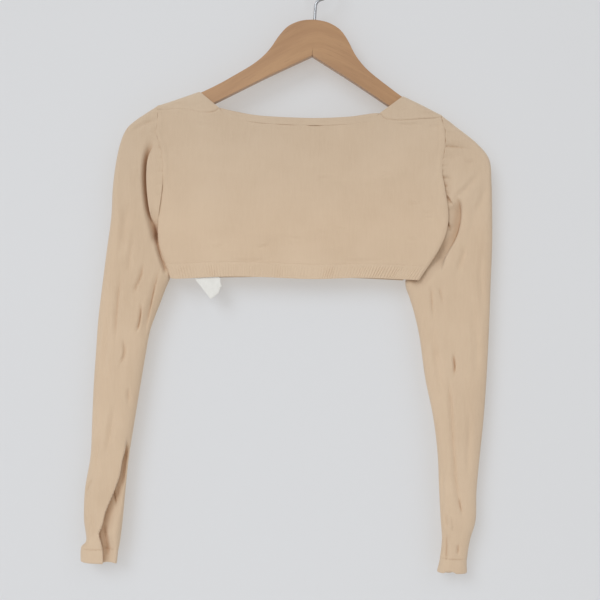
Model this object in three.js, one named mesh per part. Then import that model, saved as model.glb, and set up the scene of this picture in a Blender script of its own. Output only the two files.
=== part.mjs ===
// Knit bolero hanging on a flat wooden hanger.
// Millimetres, +Z up, the viewer's side of the garment faces -Y.
// The origin is the inner crown of the hook, where it bears on a rail.

import * as THREE from 'three';

// ---------------------------------------------------------------- driving dimensions

const wall = 1.5;              // thickness of the knitted cloth
const seamGap = 0.3;           // clearance left between sewn pieces
const bodyHalf = 7.2;          // middle plane to the middle of a body panel's wall
const hemHalf = 6.2;           // the same at the hem, where the body closes a little
const closingFrom = 30;        // the closing starts this far down and takes the next length
const closingLength = 160;
const neckDip = { depth: 0.8, reach: 120, from: 10, length: 80 };   // the open neck sinks in
const ribHeight = 20;          // ribbed hem band
const ribPitch = 3.4;          // one rib and its groove
const ribRelief = 0.7;         // how far a rib stands over its groove
const ribExtra = 0.2;          // rib knit, over the plain wall
const panelRows = 13;          // rows of facets down a body panel
const neckbandHeight = 9;      // turned band along a neckline
const neckbandWall = 2.1;      // two layers of cloth, pressed

const cuffExtra = 0.6;         // turned cuff hem, over the plain wall
const innerEndRound = 9;       // rounding of a sleeve's inner end
const seamReach = 4.5;         // sections over which a sleeve loses the armhole seam's curve
const chordSlack = 0.5;        // room for the straight facets along the armhole seams
const sideTrim = 0.4;          // the shoulder piece stops this far short of the armhole
const sleeveCounts = {
  head: 72, headPlaces: [0, 0.3, 0.75, 1.3, 2, 2.8], lower: 30, lowerRings: 20, lowerFrom: 3.6, cuffGap: 0.025,
};

const hook = { radius: 22, wire: 3.8, fillet: 10, stem: 21, tipAngle: 205, sides: 8, steps: 44 };
const wood = { thickness: 12, edge: 3, crotch: 46, roll: 3.8 };
const garmentPlace = { across: -20.7, height: -189 };   // shoulder seam level, middle of the body

const clothColour = 0xcbb898;
const woodColour = 0xb08a5e;

// Upper outline of one arm of the hanger, from the joint outwards, measured from the wood's top.
const armTop = [
  { across: 0, height: 0 }, { across: 17, height: -2.5 }, { across: 33, height: -10.5 },
  { across: 44, height: -23.5 }, { across: 54, height: -40 }, { across: 64, height: -52 },
  { across: 77, height: -63 }, { across: 100, height: -77.8 }, { across: 122, height: -91 },
  { across: 160, height: -110.8 }, { across: 195, height: -127.4 }, { across: 207, height: -135.4 },
  { across: 216, height: -146 }, { across: 216.5, height: -155 }, { across: 209, height: -160 },
];

// ---------------------------------------------------------------- outlines of the garment
// All in garment measure: across from the middle, height from the shoulder seam level.

const backLeftEdge = [
  { across: -184, height: 4 }, { across: -184, height: -12 }, { across: -186, height: -25 },
  { across: -181, height: -40 }, { across: -177, height: -62 }, { across: -177.5, height: -88 },
  { across: -180, height: -111 }, { across: -183, height: -135 }, { across: -182, height: -168 },
  { across: -174, height: -192 }, { across: -168, height: -211 },
];
const backRightEdge = [
  { across: 180, height: -6 }, { across: 185, height: -23 }, { across: 185, height: -42 },
  { across: 181.5, height: -62 }, { across: 181, height: -79 }, { across: 184, height: -95 },
  { across: 188.5, height: -124 }, { across: 187, height: -148 }, { across: 179, height: -170 },
  { across: 165, height: -193 }, { across: 151, height: -214 },
];
const frontRightEdge = [
  { across: 180, height: -6 }, { across: 185, height: -23 }, { across: 185, height: -42 },
  { across: 181.5, height: -62 }, { across: 181, height: -79 }, { across: 182, height: -98 },
  { across: 177, height: -131 }, { across: 162, height: -163 }, { across: 141, height: -193 },
  { across: 132, height: -214 },
];
const backTop = [
  { across: -184, height: 4 }, { across: -150, height: 5 }, { across: -128, height: 1 },
  { across: -112, height: 2 }, { across: -104, height: 6 }, { across: -90, height: 3 },
  { across: -52, height: -3.5 }, { across: 12, height: -6.5 }, { across: 60, height: -5 },
  { across: 98, height: -0.5 }, { across: 108, height: -7 }, { across: 129, height: -9 },
  { across: 155, height: -7 }, { across: 180, height: -6 },
];
const frontTop = [
  { across: -184, height: 4 }, { across: -150, height: 6 }, { across: -124, height: 5 },
  { across: -112, height: -2 }, { across: -80, height: -18 }, { across: -40, height: -27 },
  { across: 0, height: -30 }, { across: 40, height: -28 }, { across: 80, height: -21 },
  { across: 112, height: -8 }, { across: 124, height: -4 }, { across: 150, height: -5 },
  { across: 180, height: -6 },
];
const backHem = [
  { across: -168, height: -211 }, { across: -155, height: -212 }, { across: -100, height: -209.5 },
  { across: -50, height: -210 }, { across: 14, height: -212.5 }, { across: 80, height: -211 },
  { across: 151, height: -214 },
];
const frontHem = [
  { across: -168, height: -211 }, { across: -90, height: -210 }, { across: 0, height: -209 },
  { across: 70, height: -211 }, { across: 132, height: -214 },
];

// Where each neckline starts and ends, as across values, and how its band tapers there.
const backNeck = { from: -104, to: 100, taper: 6 };
const frontNeck = { from: -121, to: 122, taper: 6 };
const columnCounts = { seam: 6, neck: 13 };   // columns of a panel along a shoulder seam and the neck

// Ridge of each shoulder piece, where it lies over the hanger, from the armhole to the neck.
const shoulderRound = 4.5;     // rounding of the cloth over the top of the wood
const leftRidge = [
  { across: -184.5, height: 10.5 }, { across: -160, height: 18.5 }, { across: -131, height: 28.6 },
];
const rightRidge = [
  { across: 180.5, height: -1.6 }, { across: 157, height: 10.6 }, { across: 132, height: 22.8 },
];

// Sleeve sections from the armhole to the cuff's edge: both ends of the flattened ring, its
// depth front to back, how far its inner end sits behind the middle plane, and the length over
// which its ends are rounded.
const rightSleeve = [
  { outer: [181, -3], inner: [141.5, -195], depth: 14.4, back: 0, round: 4.5 },
  { outer: [203, -19], inner: [140, -199], depth: 14.6, back: 1.4, round: 4.5 },
  { outer: [226, -37.5], inner: [138, -204], depth: 15.4, back: 2.2, round: 4.5 },
  { outer: [242, -58], inner: [136, -210], depth: 16, back: 2.8, round: 6 },
  { outer: [245, -88], inner: [135, -217], depth: 16, back: 3, round: 9 },
  { outer: [246, -126], inner: [136, -225], depth: 16, back: 3, round: 12 },
  { outer: [246, -170], inner: [140, -236], depth: 16.5, back: 2.6, round: 16 },
  { outer: [244, -224], inner: [146, -256], depth: 17, back: 2, round: 20 },
  { outer: [242, -280], inner: [153, -288], depth: 18, back: 1.4, round: 22 },
  { outer: [239, -339], inner: [160, -339], depth: 19, back: 1, round: 24 },
  { outer: [235, -394], inner: [170, -388], depth: 20, back: 0.6, round: 24 },
  { outer: [230, -442], inner: [176, -436], depth: 20, back: 0.4, round: 22 },
  { outer: [226, -486], inner: [178, -484], depth: 20, back: 0, round: 20 },
  { outer: [225, -522], inner: [180, -522], depth: 19, back: 0, round: 19 },
  { outer: [218, -547], inner: [181.5, -547], depth: 18, back: 0, round: 16 },
  { outer: [214, -571], inner: [179, -571], depth: 18, back: 0, round: 15 },
  { outer: [214, -590], inner: [175, -588.5], depth: 18, back: 0, round: 15 },
];
const leftSleeve = [
  { outer: [-185, 8.5], inner: [-175, -194], depth: 14.4, back: 0, round: 4.5 },
  { outer: [-199, 1], inner: [-175, -196], depth: 14.6, back: 0.3, round: 4.5 },
  { outer: [-213, -8.5], inner: [-174.5, -199], depth: 15.4, back: 0.6, round: 4.5 },
  { outer: [-224, -19], inner: [-173.5, -202.5], depth: 16.4, back: 0.8, round: 5.5 },
  { outer: [-232, -37], inner: [-172.5, -207], depth: 17.4, back: 1, round: 8 },
  { outer: [-238, -64], inner: [-172, -212], depth: 18, back: 1.2, round: 11 },
  { outer: [-242, -96], inner: [-173, -218.5], depth: 18.5, back: 1.4, round: 14 },
  { outer: [-244, -132], inner: [-176, -228], depth: 19, back: 1.4, round: 17 },
  { outer: [-250, -176], inner: [-181, -242], depth: 19, back: 1.2, round: 20 },
  { outer: [-256, -222], inner: [-188, -260], depth: 19.5, back: 1, round: 22 },
  { outer: [-261, -264], inner: [-195, -281], depth: 20, back: 0.6, round: 23 },
  { outer: [-264, -306], inner: [-201, -314], depth: 20, back: 0.4, round: 23 },
  { outer: [-267, -350], inner: [-208, -356], depth: 20, back: 0, round: 23 },
  { outer: [-269, -396], inner: [-215, -399], depth: 20, back: 0, round: 22 },
  { outer: [-271, -440], inner: [-221.5, -440], depth: 20.5, back: 0, round: 21 },
  { outer: [-275, -482], inner: [-226, -482], depth: 21, back: 0, round: 20 },
  { outer: [-277, -520], inner: [-229.5, -520], depth: 21, back: 0, round: 19 },
  { outer: [-276.5, -548], inner: [-233, -549], depth: 20, back: 0, round: 18 },
  { outer: [-281, -558.5], inner: [-235, -560], depth: 19, back: 0, round: 18 },
  { outer: [-282, -575], inner: [-237, -578], depth: 19, back: 0, round: 18 },
];

// ---------------------------------------------------------------- folds and gathers
// path: the line of the fold. depth: towards the middle plane, or outwards if negative.
// before and after: its width on the left and the right of the way the path runs.
// fadeIn and fadeOut: share of its length over which it dies away at either end.

const nearSide = 1;
const farSide = -1;

const rightSleeveFolds = [
  { side: nearSide, path: [[184, -66], [185, -96], [184, -128], [172, -160], [150, -190], [132, -218]],
    depth: 3.2, before: 15, after: 40, fadeIn: 0.16, fadeOut: 0.3 },
  { side: nearSide, path: [[194, -100], [205, -128], [201, -164], [186, -190], [160, -218]],
    depth: 3.6, before: 11, after: 13, fadeIn: 0.3, fadeOut: 0.25 },
  { side: nearSide, path: [[192, -112], [212, -96], [233, -70]],
    depth: 1.7, before: 9, after: 9, fadeIn: 0.3, fadeOut: 0.4 },
  { side: nearSide, path: [[213, -164], [205, -192], [198, -210]],
    depth: 2, before: 8, after: 8, fadeIn: 0.35, fadeOut: 0.4 },
  { side: nearSide, path: [[190, -350], [193, -424], [203, -512]],
    depth: 2.4, before: 9, after: 8, fadeIn: 0.3, fadeOut: 0.35 },
  { side: nearSide, path: [[195, -312], [197, -336]],
    depth: 2, before: 6, after: 6, fadeIn: 0.45, fadeOut: 0.45 },
  { side: nearSide, path: [[222, -130], [232, -112], [238, -88]],
    depth: 1.6, before: 8, after: 7, fadeIn: 0.3, fadeOut: 0.4 },
  { side: farSide, path: [[190, -60], [206, -110], [200, -190], [176, -260]],
    depth: 3, before: 14, after: 14, fadeIn: 0.25, fadeOut: 0.35 },
  { side: farSide, path: [[205, -250], [196, -350], [205, -470]],
    depth: 2.2, before: 9, after: 9, fadeIn: 0.3, fadeOut: 0.3 },
];
const leftSleeveFolds = [
  { side: nearSide, path: [[-190, -32], [-197, -44], [-201, -64], [-201, -92], [-196, -128], [-190, -152],
    [-182, -184], [-176, -206]], depth: 8, before: 13, after: 12, fadeIn: 0.14, fadeOut: 0.16 },
  { side: nearSide, path: [[-179, -192], [-188, -226], [-196, -262], [-203, -300]],
    depth: 3, before: 6, after: 7, fadeIn: 0.3, fadeOut: 0.4 },
  { side: nearSide, path: [[-219, -414], [-230, -451], [-241, -483], [-254, -521], [-260, -545], [-254, -582]],
    depth: 6.5, before: 19, after: 9, fadeIn: 0.3, fadeOut: 0 },
  { side: nearSide, path: [[-206, -208], [-210, -236], [-211, -282]],
    depth: 2.2, before: 8, after: 8, fadeIn: 0.35, fadeOut: 0.35 },
  { side: nearSide, path: [[-233, -232], [-238, -282]],
    depth: 1.6, before: 7, after: 7, fadeIn: 0.4, fadeOut: 0.4 },
  { side: nearSide, path: [[-226, -298], [-231, -324], [-228, -352]],
    depth: 1.6, before: 7, after: 7, fadeIn: 0.4, fadeOut: 0.4 },
  { side: farSide, path: [[-190, -40], [-206, -100], [-204, -180], [-212, -270]],
    depth: 3.4, before: 13, after: 13, fadeIn: 0.2, fadeOut: 0.35 },
  { side: farSide, path: [[-236, -290], [-242, -380], [-236, -480]],
    depth: 2.4, before: 9, after: 9, fadeIn: 0.3, fadeOut: 0.3 },
];

// Gathers where a sleeve head is eased into its armhole: height of each on the seam, how far
// it runs out from the seam, how much it rises on the way, and its depth, outwards over the wood.
// Both sides have them.
const gathers = {
  right: [
    { height: -9, reach: 22, rise: -9, depth: -1.2 }, { height: -22, reach: 18, rise: -3, depth: -1 },
    { height: -35, reach: 34, rise: -4, depth: -1.5 }, { height: -50, reach: 30, rise: 1, depth: -1.1 },
    { height: -67, reach: 12, rise: 2, depth: 1 }, { height: -82, reach: 18, rise: -3, depth: 1.3 },
    { height: -92, reach: 10, rise: -5, depth: 1 },
  ],
  left: [
    { height: -2, reach: 22, rise: -6, depth: -1.3 }, { height: -16, reach: 12, rise: -5, depth: -1 },
    { height: -31, reach: 9, rise: -2, depth: -0.9 }, { height: -44, reach: 11, rise: 1, depth: 1.1 },
    { height: -58, reach: 9, rise: 2, depth: 1 }, { height: -74, reach: 12, rise: -2, depth: 1.1 },
  ],
};
const gatherWidth = 5.5;

// Broad, shallow waves of the body panels, the far one's like the near one's.
const panelFolds = [
  { side: nearSide, path: [[-170, -60], [-120, -66], [-40, -60]],
    depth: 0.9, before: 14, after: 14, fadeIn: 0.4, fadeOut: 0.5 },
  { side: nearSide, path: [[20, -92], [90, -84], [150, -72]],
    depth: -0.9, before: 16, after: 16, fadeIn: 0.4, fadeOut: 0.4 },
  { side: nearSide, path: [[-150, -150], [-60, -168], [60, -160]],
    depth: 0.8, before: 15, after: 15, fadeIn: 0.4, fadeOut: 0.4 },
  { side: nearSide, path: [[188, -110], [188, -140], [176, -178], [150, -212]],
    depth: -1.6, before: 30, after: 30, fadeIn: 0.3, fadeOut: 0 },
  { side: farSide, path: [[-150, -80], [-60, -70], [40, -84]],
    depth: 0.9, before: 15, after: 15, fadeIn: 0.4, fadeOut: 0.4 },
  { side: farSide, path: [[-40, -150], [60, -160], [130, -140]],
    depth: -0.9, before: 16, after: 16, fadeIn: 0.4, fadeOut: 0.4 },
];

// ---------------------------------------------------------------- small helpers

const clamp = (value, low, high) => Math.min(high, Math.max(low, value));
const mix = (a, b, share) => a + (b - a) * share;
const smooth = (share) => {
  const s = clamp(share, 0, 1);
  return s * s * (3 - 2 * s);
};
const range = (count) => Array.from({ length: count + 1 }, (_, index) => index / count);

const edgeCurve = (rows) => new THREE.SplineCurve(rows.map((r) => new THREE.Vector2(r.across, r.height)));

// Smooth value of one number that a table gives per row, at a fractional row.
function columnAt(rows, read, place) {
  const last = rows.length - 1;
  const i = clamp(Math.floor(place), 0, last - 1);
  const t = place - i;
  const p0 = read(rows[Math.max(i - 1, 0)]);
  const p1 = read(rows[i]);
  const p2 = read(rows[i + 1]);
  const p3 = read(rows[Math.min(i + 2, last)]);
  const a = 2 * p1;
  const b = p2 - p0;
  const c = 2 * p0 - 5 * p1 + 4 * p2 - p3;
  const d = 3 * p1 - p0 - 3 * p2 + p3;
  return 0.5 * (a + b * t + c * t * t + d * t * t * t);
}

// How far one fold moves the cloth at a point of the front view, 0 away from it.
function foldDepth(x, z, fold) {
  let nearest = { distance: Infinity, left: true, along: 0 };
  let walked = 0;
  for (let i = 0; i < fold.path.length - 1; i += 1) {
    const [ax, az] = fold.path[i];
    const [bx, bz] = fold.path[i + 1];
    const length = Math.hypot(bx - ax, bz - az);
    const share = clamp(((x - ax) * (bx - ax) + (z - az) * (bz - az)) / (length * length), 0, 1);
    const distance = Math.hypot(x - mix(ax, bx, share), z - mix(az, bz, share));
    if (distance < nearest.distance) {
      const left = (bx - ax) * (z - az) - (bz - az) * (x - ax) > 0;
      nearest = { distance, left, along: walked + share * length };
    }
    walked += length;
  }
  const width = nearest.left ? fold.before : fold.after;
  if (nearest.distance >= width) return 0;
  const place = nearest.along / walked;
  const start = fold.fadeIn > 0 ? smooth(place / fold.fadeIn) : 1;
  const end = fold.fadeOut > 0 ? smooth((1 - place) / fold.fadeOut) : 1;
  return fold.depth * start * end * (0.5 + 0.5 * Math.cos((Math.PI * nearest.distance) / width));
}

function foldSum(x, z, side, folds) {
  return folds.filter((f) => f.side === side).reduce((sum, f) => sum + foldDepth(x, z, f), 0);
}

// A mesh from a list of triangles, each of three points [x, y, z].
function meshFrom(name, triangles, colour, roughness = 0.95, metalness = 0) {
  const geometry = new THREE.BufferGeometry();
  geometry.setAttribute('position', new THREE.Float32BufferAttribute(triangles.flat(2), 3));
  geometry.computeVertexNormals();
  const material = new THREE.MeshStandardMaterial({ color: colour, roughness, metalness });
  const mesh = new THREE.Mesh(geometry, material);
  mesh.name = name;
  return mesh;
}

// Joins two rows of points into triangles. Each row has its points and a rising key per point.
function zip(rowA, rowB, keysA, keysB, flip) {
  const triangles = [];
  let a = 0;
  let b = 0;
  const add = (p, q, r) => triangles.push(flip ? [p, r, q] : [p, q, r]);
  while (a < rowA.length - 1 || b < rowB.length - 1) {
    const nextA = a < rowA.length - 1 ? keysA[a + 1] : Infinity;
    const nextB = b < rowB.length - 1 ? keysB[b + 1] : Infinity;
    if (nextA <= nextB) {
      add(rowA[a], rowB[b], rowA[a + 1]);
      a += 1;
    } else {
      add(rowA[a], rowB[b], rowB[b + 1]);
      b += 1;
    }
  }
  return triangles;
}

// ---------------------------------------------------------------- body panels and bands

// A patch between four edge curves, which meet at the corners.
function patchPoint(edges, u, v) {
  const left = edges.left.getPointAt(v);
  const right = edges.right.getPointAt(v);
  const top = edges.top.getPointAt(u);
  const hem = edges.hem.getPointAt(u);
  const left0 = edges.left.getPointAt(0);
  const left1 = edges.left.getPointAt(1);
  const right0 = edges.right.getPointAt(0);
  const right1 = edges.right.getPointAt(1);
  const corner = (key) => mix(mix(left0[key], right0[key], u), mix(left1[key], right1[key], u), v);
  return {
    x: mix(left.x, right.x, u) + mix(top.x, hem.x, v) - corner('x'),
    z: mix(left.y, right.y, u) + mix(top.y, hem.y, v) - corner('y'),
  };
}

// Distance of a panel's wall from the middle plane: it closes a little towards the hem and
// across the open neck, and carries the broad folds.
function panelHalf(x, z, side) {
  const closing = (bodyHalf - hemHalf) * smooth((-z - closingFrom) / closingLength);
  const across = 1 - smooth(Math.abs(x) / neckDip.reach);
  const neck = neckDip.depth * across * (1 - smooth((-z - neckDip.from) / neckDip.length));
  return bodyHalf - closing - neck - foldSum(x, z, side, panelFolds);
}

// A sheet of cloth between two rows of shares (from, to) down the patch, for each column.
function bandMesh(name, piece, span) {
  const { edges, side } = piece;
  const outerColumns = span.columns;
  const innerColumns = span.innerColumns ?? span.columns;
  const place = (u, down, lift) => {
    const v = mix(span.from(u), span.to(u), down);
    const { x, z } = patchPoint(edges, u, v);
    const half = panelHalf(x, z, side) + lift;
    return [x, side === nearSide ? -half : half, z];
  };
  const outerWall = (span.wall ?? wall) - wall / 2;
  const outer = range(span.rows).map((down) => outerColumns.map((u, i) =>
    place(u, down, outerWall + (span.relief ? span.relief(i) : 0))));
  const inner = range(span.rows).map((down) => innerColumns.map((u) => place(u, down, -wall / 2)));
  const flip = side === farSide;
  const triangles = [];
  for (let r = 0; r < span.rows; r += 1) {
    triangles.push(...zip(outer[r], outer[r + 1], outerColumns, outerColumns, flip));
    triangles.push(...zip(inner[r], inner[r + 1], innerColumns, innerColumns, !flip));
  }
  const last = span.rows;
  triangles.push(...zip(outer[0], inner[0], outerColumns, innerColumns, !flip));
  triangles.push(...zip(outer[last], inner[last], outerColumns, innerColumns, flip));
  const down = range(span.rows);
  const endOf = (grid, end) => grid.map((row) => row[end === 0 ? 0 : row.length - 1]);
  triangles.push(...zip(endOf(outer, 0), endOf(inner, 0), down, down, flip));
  triangles.push(...zip(endOf(outer, 1), endOf(inner, 1), down, down, !flip));
  return meshFrom(name, triangles, clothColour);
}

// Shares of the patch height that the gap, the rib band and the neckband take at a column.
function panelShares({ edges, neck }) {
  const heightAt = (u) => edges.top.getPointAt(u).y - edges.hem.getPointAt(u).y;
  const neckShare = (u) => {
    const across = edges.top.getPointAt(u).x;
    const inside = Math.min(across - neck.from, neck.to - across);
    return (smooth(inside / neck.taper) * neckbandHeight) / heightAt(u);
  };
  const gapShare = (u) => seamGap / heightAt(u);
  return { neckShare, gapShare, ribShare: (u) => 1 - ribHeight / heightAt(u) };
}

// The share along a curve at which it reaches an across value.
function shareAtAcross(curve, across) {
  let low = 0;
  let high = 1;
  for (let i = 0; i < 40; i += 1) {
    const middle = (low + high) / 2;
    if (curve.getPointAt(middle).x < across) low = middle;
    else high = middle;
  }
  return low;
}

// Columns of a panel: along the left shoulder seam, the neck and the right shoulder seam. The
// neck has two more at each end, where its band rises from the notch to its full height.
function panelColumns({ edges, neck }) {
  const at = (across) => shareAtAcross(edges.top, across);
  const [from, to] = [at(neck.from), at(neck.to)];
  const [rise, full] = [neck.taper * 0.35, neck.taper];
  const stretch = (count, start, end) => range(count).map((share) => mix(start, end, share));
  return {
    left: stretch(columnCounts.seam, 0, from),
    neck: [from, at(neck.from + rise), ...stretch(columnCounts.neck, at(neck.from + full), at(neck.to - full)),
      at(neck.to - rise), to],
    right: stretch(columnCounts.seam, to, 1),
  };
}

function panelMeshes(name, piece) {
  const { neckShare, gapShare, ribShare } = panelShares(piece);
  const { left, neck, right } = panelColumns(piece);
  const columns = [...left, ...neck.slice(1), ...right.slice(1)];
  const ribCount = Math.round(piece.edges.hem.getLength() / ribPitch);
  const panel = bandMesh(`panel_${name}`, piece, {
    columns, rows: panelRows,
    from: (u) => neckShare(u) + (neckShare(u) > 0 ? gapShare(u) : 0),
    to: (u) => ribShare(u) - gapShare(u),
  });
  const rib = bandMesh(`rib_${name}`, piece, {
    columns: range(ribCount * 2), innerColumns: columns, rows: 1,
    wall: wall + ribExtra, relief: (i) => (i % 2 === 1 ? ribRelief : 0),
    from: ribShare, to: () => 1,
  });
  const neckband = bandMesh(`neckband_${name}`, piece, {
    columns: neck.slice(1, -1), rows: 1,
    wall: neckbandWall, from: () => 0, to: neckShare,
  });
  return [panel, rib, neckband];
}

// ---------------------------------------------------------------- tubes: sleeves and cuffs

// A tube of cloth through closed rings of points. Each ring has its keys round the tube.
function tubeMesh(name, rings) {
  const triangles = [];
  const closed = (list) => [...list, list[0]];
  const keysOf = (ring) => [...ring.keys, 1];
  for (let i = 0; i < rings.length - 1; i += 1) {
    const [a, b] = [rings[i], rings[i + 1]];
    triangles.push(...zip(closed(a.outer), closed(b.outer), keysOf(a), keysOf(b), false));
    triangles.push(...zip(closed(a.inner), closed(b.inner), keysOf(a), keysOf(b), true));
  }
  const first = rings[0];
  const last = rings[rings.length - 1];
  triangles.push(...zip(closed(first.outer), closed(first.inner), keysOf(first), keysOf(first), true));
  triangles.push(...zip(closed(last.outer), closed(last.inner), keysOf(last), keysOf(last), false));
  return meshFrom(name, triangles, clothColour);
}

// Where a turn round the ring lies: its distance from the outer end and how far it bulges from
// the ring's middle line, 0 to 1. The ends are quarter ellipses, with flat cloth between them.
function sectionAt(turn, length, depth, round) {
  const share = turn < 0.5 ? turn * 2 : 2 - turn * 2;
  const outerRound = Math.min(round, length * 0.4);
  const innerRound = Math.min(Math.max(round, innerEndRound), length * 0.4);
  const arc = (r) => (Math.PI / 4) * (r + depth / 2);
  const whole = arc(outerRound) + arc(innerRound) + (length - outerRound - innerRound);
  const outerShare = clamp(arc(outerRound) / whole, 0.14, 0.4);
  const innerShare = clamp(arc(innerRound) / whole, 0.14, 0.4);
  if (share < outerShare) {
    const angle = (Math.PI / 2) * (share / outerShare);
    return { distance: outerRound * (1 - Math.cos(angle)), bulge: Math.sin(angle) };
  }
  if (share > 1 - innerShare) {
    const angle = (Math.PI / 2) * ((1 - share) / innerShare);
    return { distance: length - innerRound * (1 - Math.cos(angle)), bulge: Math.sin(angle) };
  }
  const flat = (share - outerShare) / (1 - outerShare - innerShare);
  return { distance: mix(outerRound, length - innerRound, flat), bulge: 1 };
}

// The middle of a sleeve's wall: place runs down the section table, turn goes round the ring
// from the outer edge along the viewer's side to the inner edge and back on the far side.
function sleevePoint(sleeve, place, turn) {
  const read = (pick) => columnAt(sleeve.rows, pick, place);
  const outer = { x: read((r) => r.outer[0]), z: read((r) => r.outer[1]) };
  const inner = { x: read((r) => r.inner[0]), z: read((r) => r.inner[1]) };
  const depth = read((r) => r.depth);
  const length = Math.hypot(outer.x - inner.x, outer.z - inner.z) - wall;
  const { distance, bulge } = sectionAt(turn, length, depth, read((r) => r.round));
  const down = (distance + wall / 2) / (length + wall);
  const bow = 1 - smooth(place / seamReach);
  const seam = sleeve.armhole.getPointAt(down);
  const chord = { x: mix(sleeve.top.x, sleeve.underarm.x, down), z: mix(sleeve.top.y, sleeve.underarm.y, down) };
  const x = mix(outer.x, inner.x, down) + bow * (seam.x - chord.x);
  const z = mix(outer.z, inner.z, down) + bow * (seam.y - chord.z);
  const side = turn < 0.5 ? nearSide : farSide;
  const folded = foldSum(x, z, side, sleeve.folds) * smooth(bulge * 1.2);
  const y = read((r) => r.back) * down - side * ((depth / 2) * bulge - folded);
  return new THREE.Vector3(x, y, z);
}

// Outward direction of the tube's wall, from two short steps along it and round it.
function sleeveNormal(sleeve, place, turn) {
  const step = 0.004;
  const along = sleevePoint(sleeve, place + 0.05, turn).sub(sleevePoint(sleeve, Math.max(place - 0.05, 0), turn));
  const round = sleevePoint(sleeve, place, turn + step).sub(sleevePoint(sleeve, place, turn - step));
  const normal = along.cross(round).normalize();
  return sleeve.mirrored ? normal.negate() : normal;
}

function sleeveRing(sleeve, place, count, thickness) {
  const ring = { keys: [], outer: [], inner: [] };
  for (let i = 0; i < count; i += 1) {
    const turn = i / count;
    const middle = sleevePoint(sleeve, place, turn);
    const normal = sleeveNormal(sleeve, place, turn);
    ring.keys.push(turn);
    ring.outer.push(middle.clone().addScaledVector(normal, thickness - wall / 2).toArray());
    ring.inner.push(middle.clone().addScaledVector(normal, -wall / 2).toArray());
  }
  if (sleeve.mirrored) {
    const turned = (list) => [list[0], ...list.slice(1).reverse()];
    ring.outer = turned(ring.outer);
    ring.inner = turned(ring.inner);
  }
  return ring;
}

function sleeveMeshes(name, sleeve) {
  const last = sleeve.rows.length - 1;
  const cuffPlace = last - 1;
  const ringAt = (place, count, thickness) => sleeveRing(sleeve, place, count, thickness);
  const headRings = sleeveCounts.headPlaces.map((place) => ringAt(place, sleeveCounts.head, wall));
  const lowerRings = range(sleeveCounts.lowerRings).map((share) =>
    ringAt(mix(sleeveCounts.lowerFrom, cuffPlace - sleeveCounts.cuffGap, share), sleeveCounts.lower, wall));
  const cuffWall = wall + cuffExtra;
  const cuffRings = [cuffPlace, cuffPlace + 0.4, last].map((place) => ringAt(place, sleeveCounts.lower, cuffWall));
  return [
    tubeMesh(`sleeve_${name}`, [...headRings, ...lowerRings]),
    tubeMesh(`cuff_${name}`, cuffRings),
  ];
}

// Gathers written as folds of both sides, running out from the armhole seam.
function gatherFolds(rows, armhole, outward) {
  const seamAcross = (height) => {
    const points = armhole.getPoints(60);
    return points.reduce((best, p) => (Math.abs(p.y - height) < Math.abs(best.y - height) ? p : best)).x;
  };
  return rows.flatMap((g) => [nearSide, farSide].map((side) => {
    const x = seamAcross(g.height);
    return {
      side, path: [[x - outward * 2, g.height], [x + outward * g.reach, g.height + g.rise]],
      depth: g.depth, before: gatherWidth, after: gatherWidth, fadeIn: 0, fadeOut: 0.7,
    };
  }));
}

// A sleeve with the seam that its first ring follows: a panel edge moved off by the seam gap,
// from the shoulder down to the underarm.
function makeSleeve(rows, edgeRows, outward, ownFolds, ownGathers) {
  const top = new THREE.Vector2(...rows[0].outer);
  const underarm = new THREE.Vector2(...rows[0].inner);
  const clearance = seamGap + chordSlack;
  const body = edgeRows.slice(1, -2).map((r) => new THREE.Vector2(r.across + outward * clearance, r.height));
  const armhole = new THREE.SplineCurve([top, ...body, underarm]);
  const folds = [...ownFolds, ...gatherFolds(ownGathers, armhole, outward)];
  return { rows, armhole, top, underarm, folds, mirrored: outward < 0 };
}

// ---------------------------------------------------------------- shoulder pieces

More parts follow.
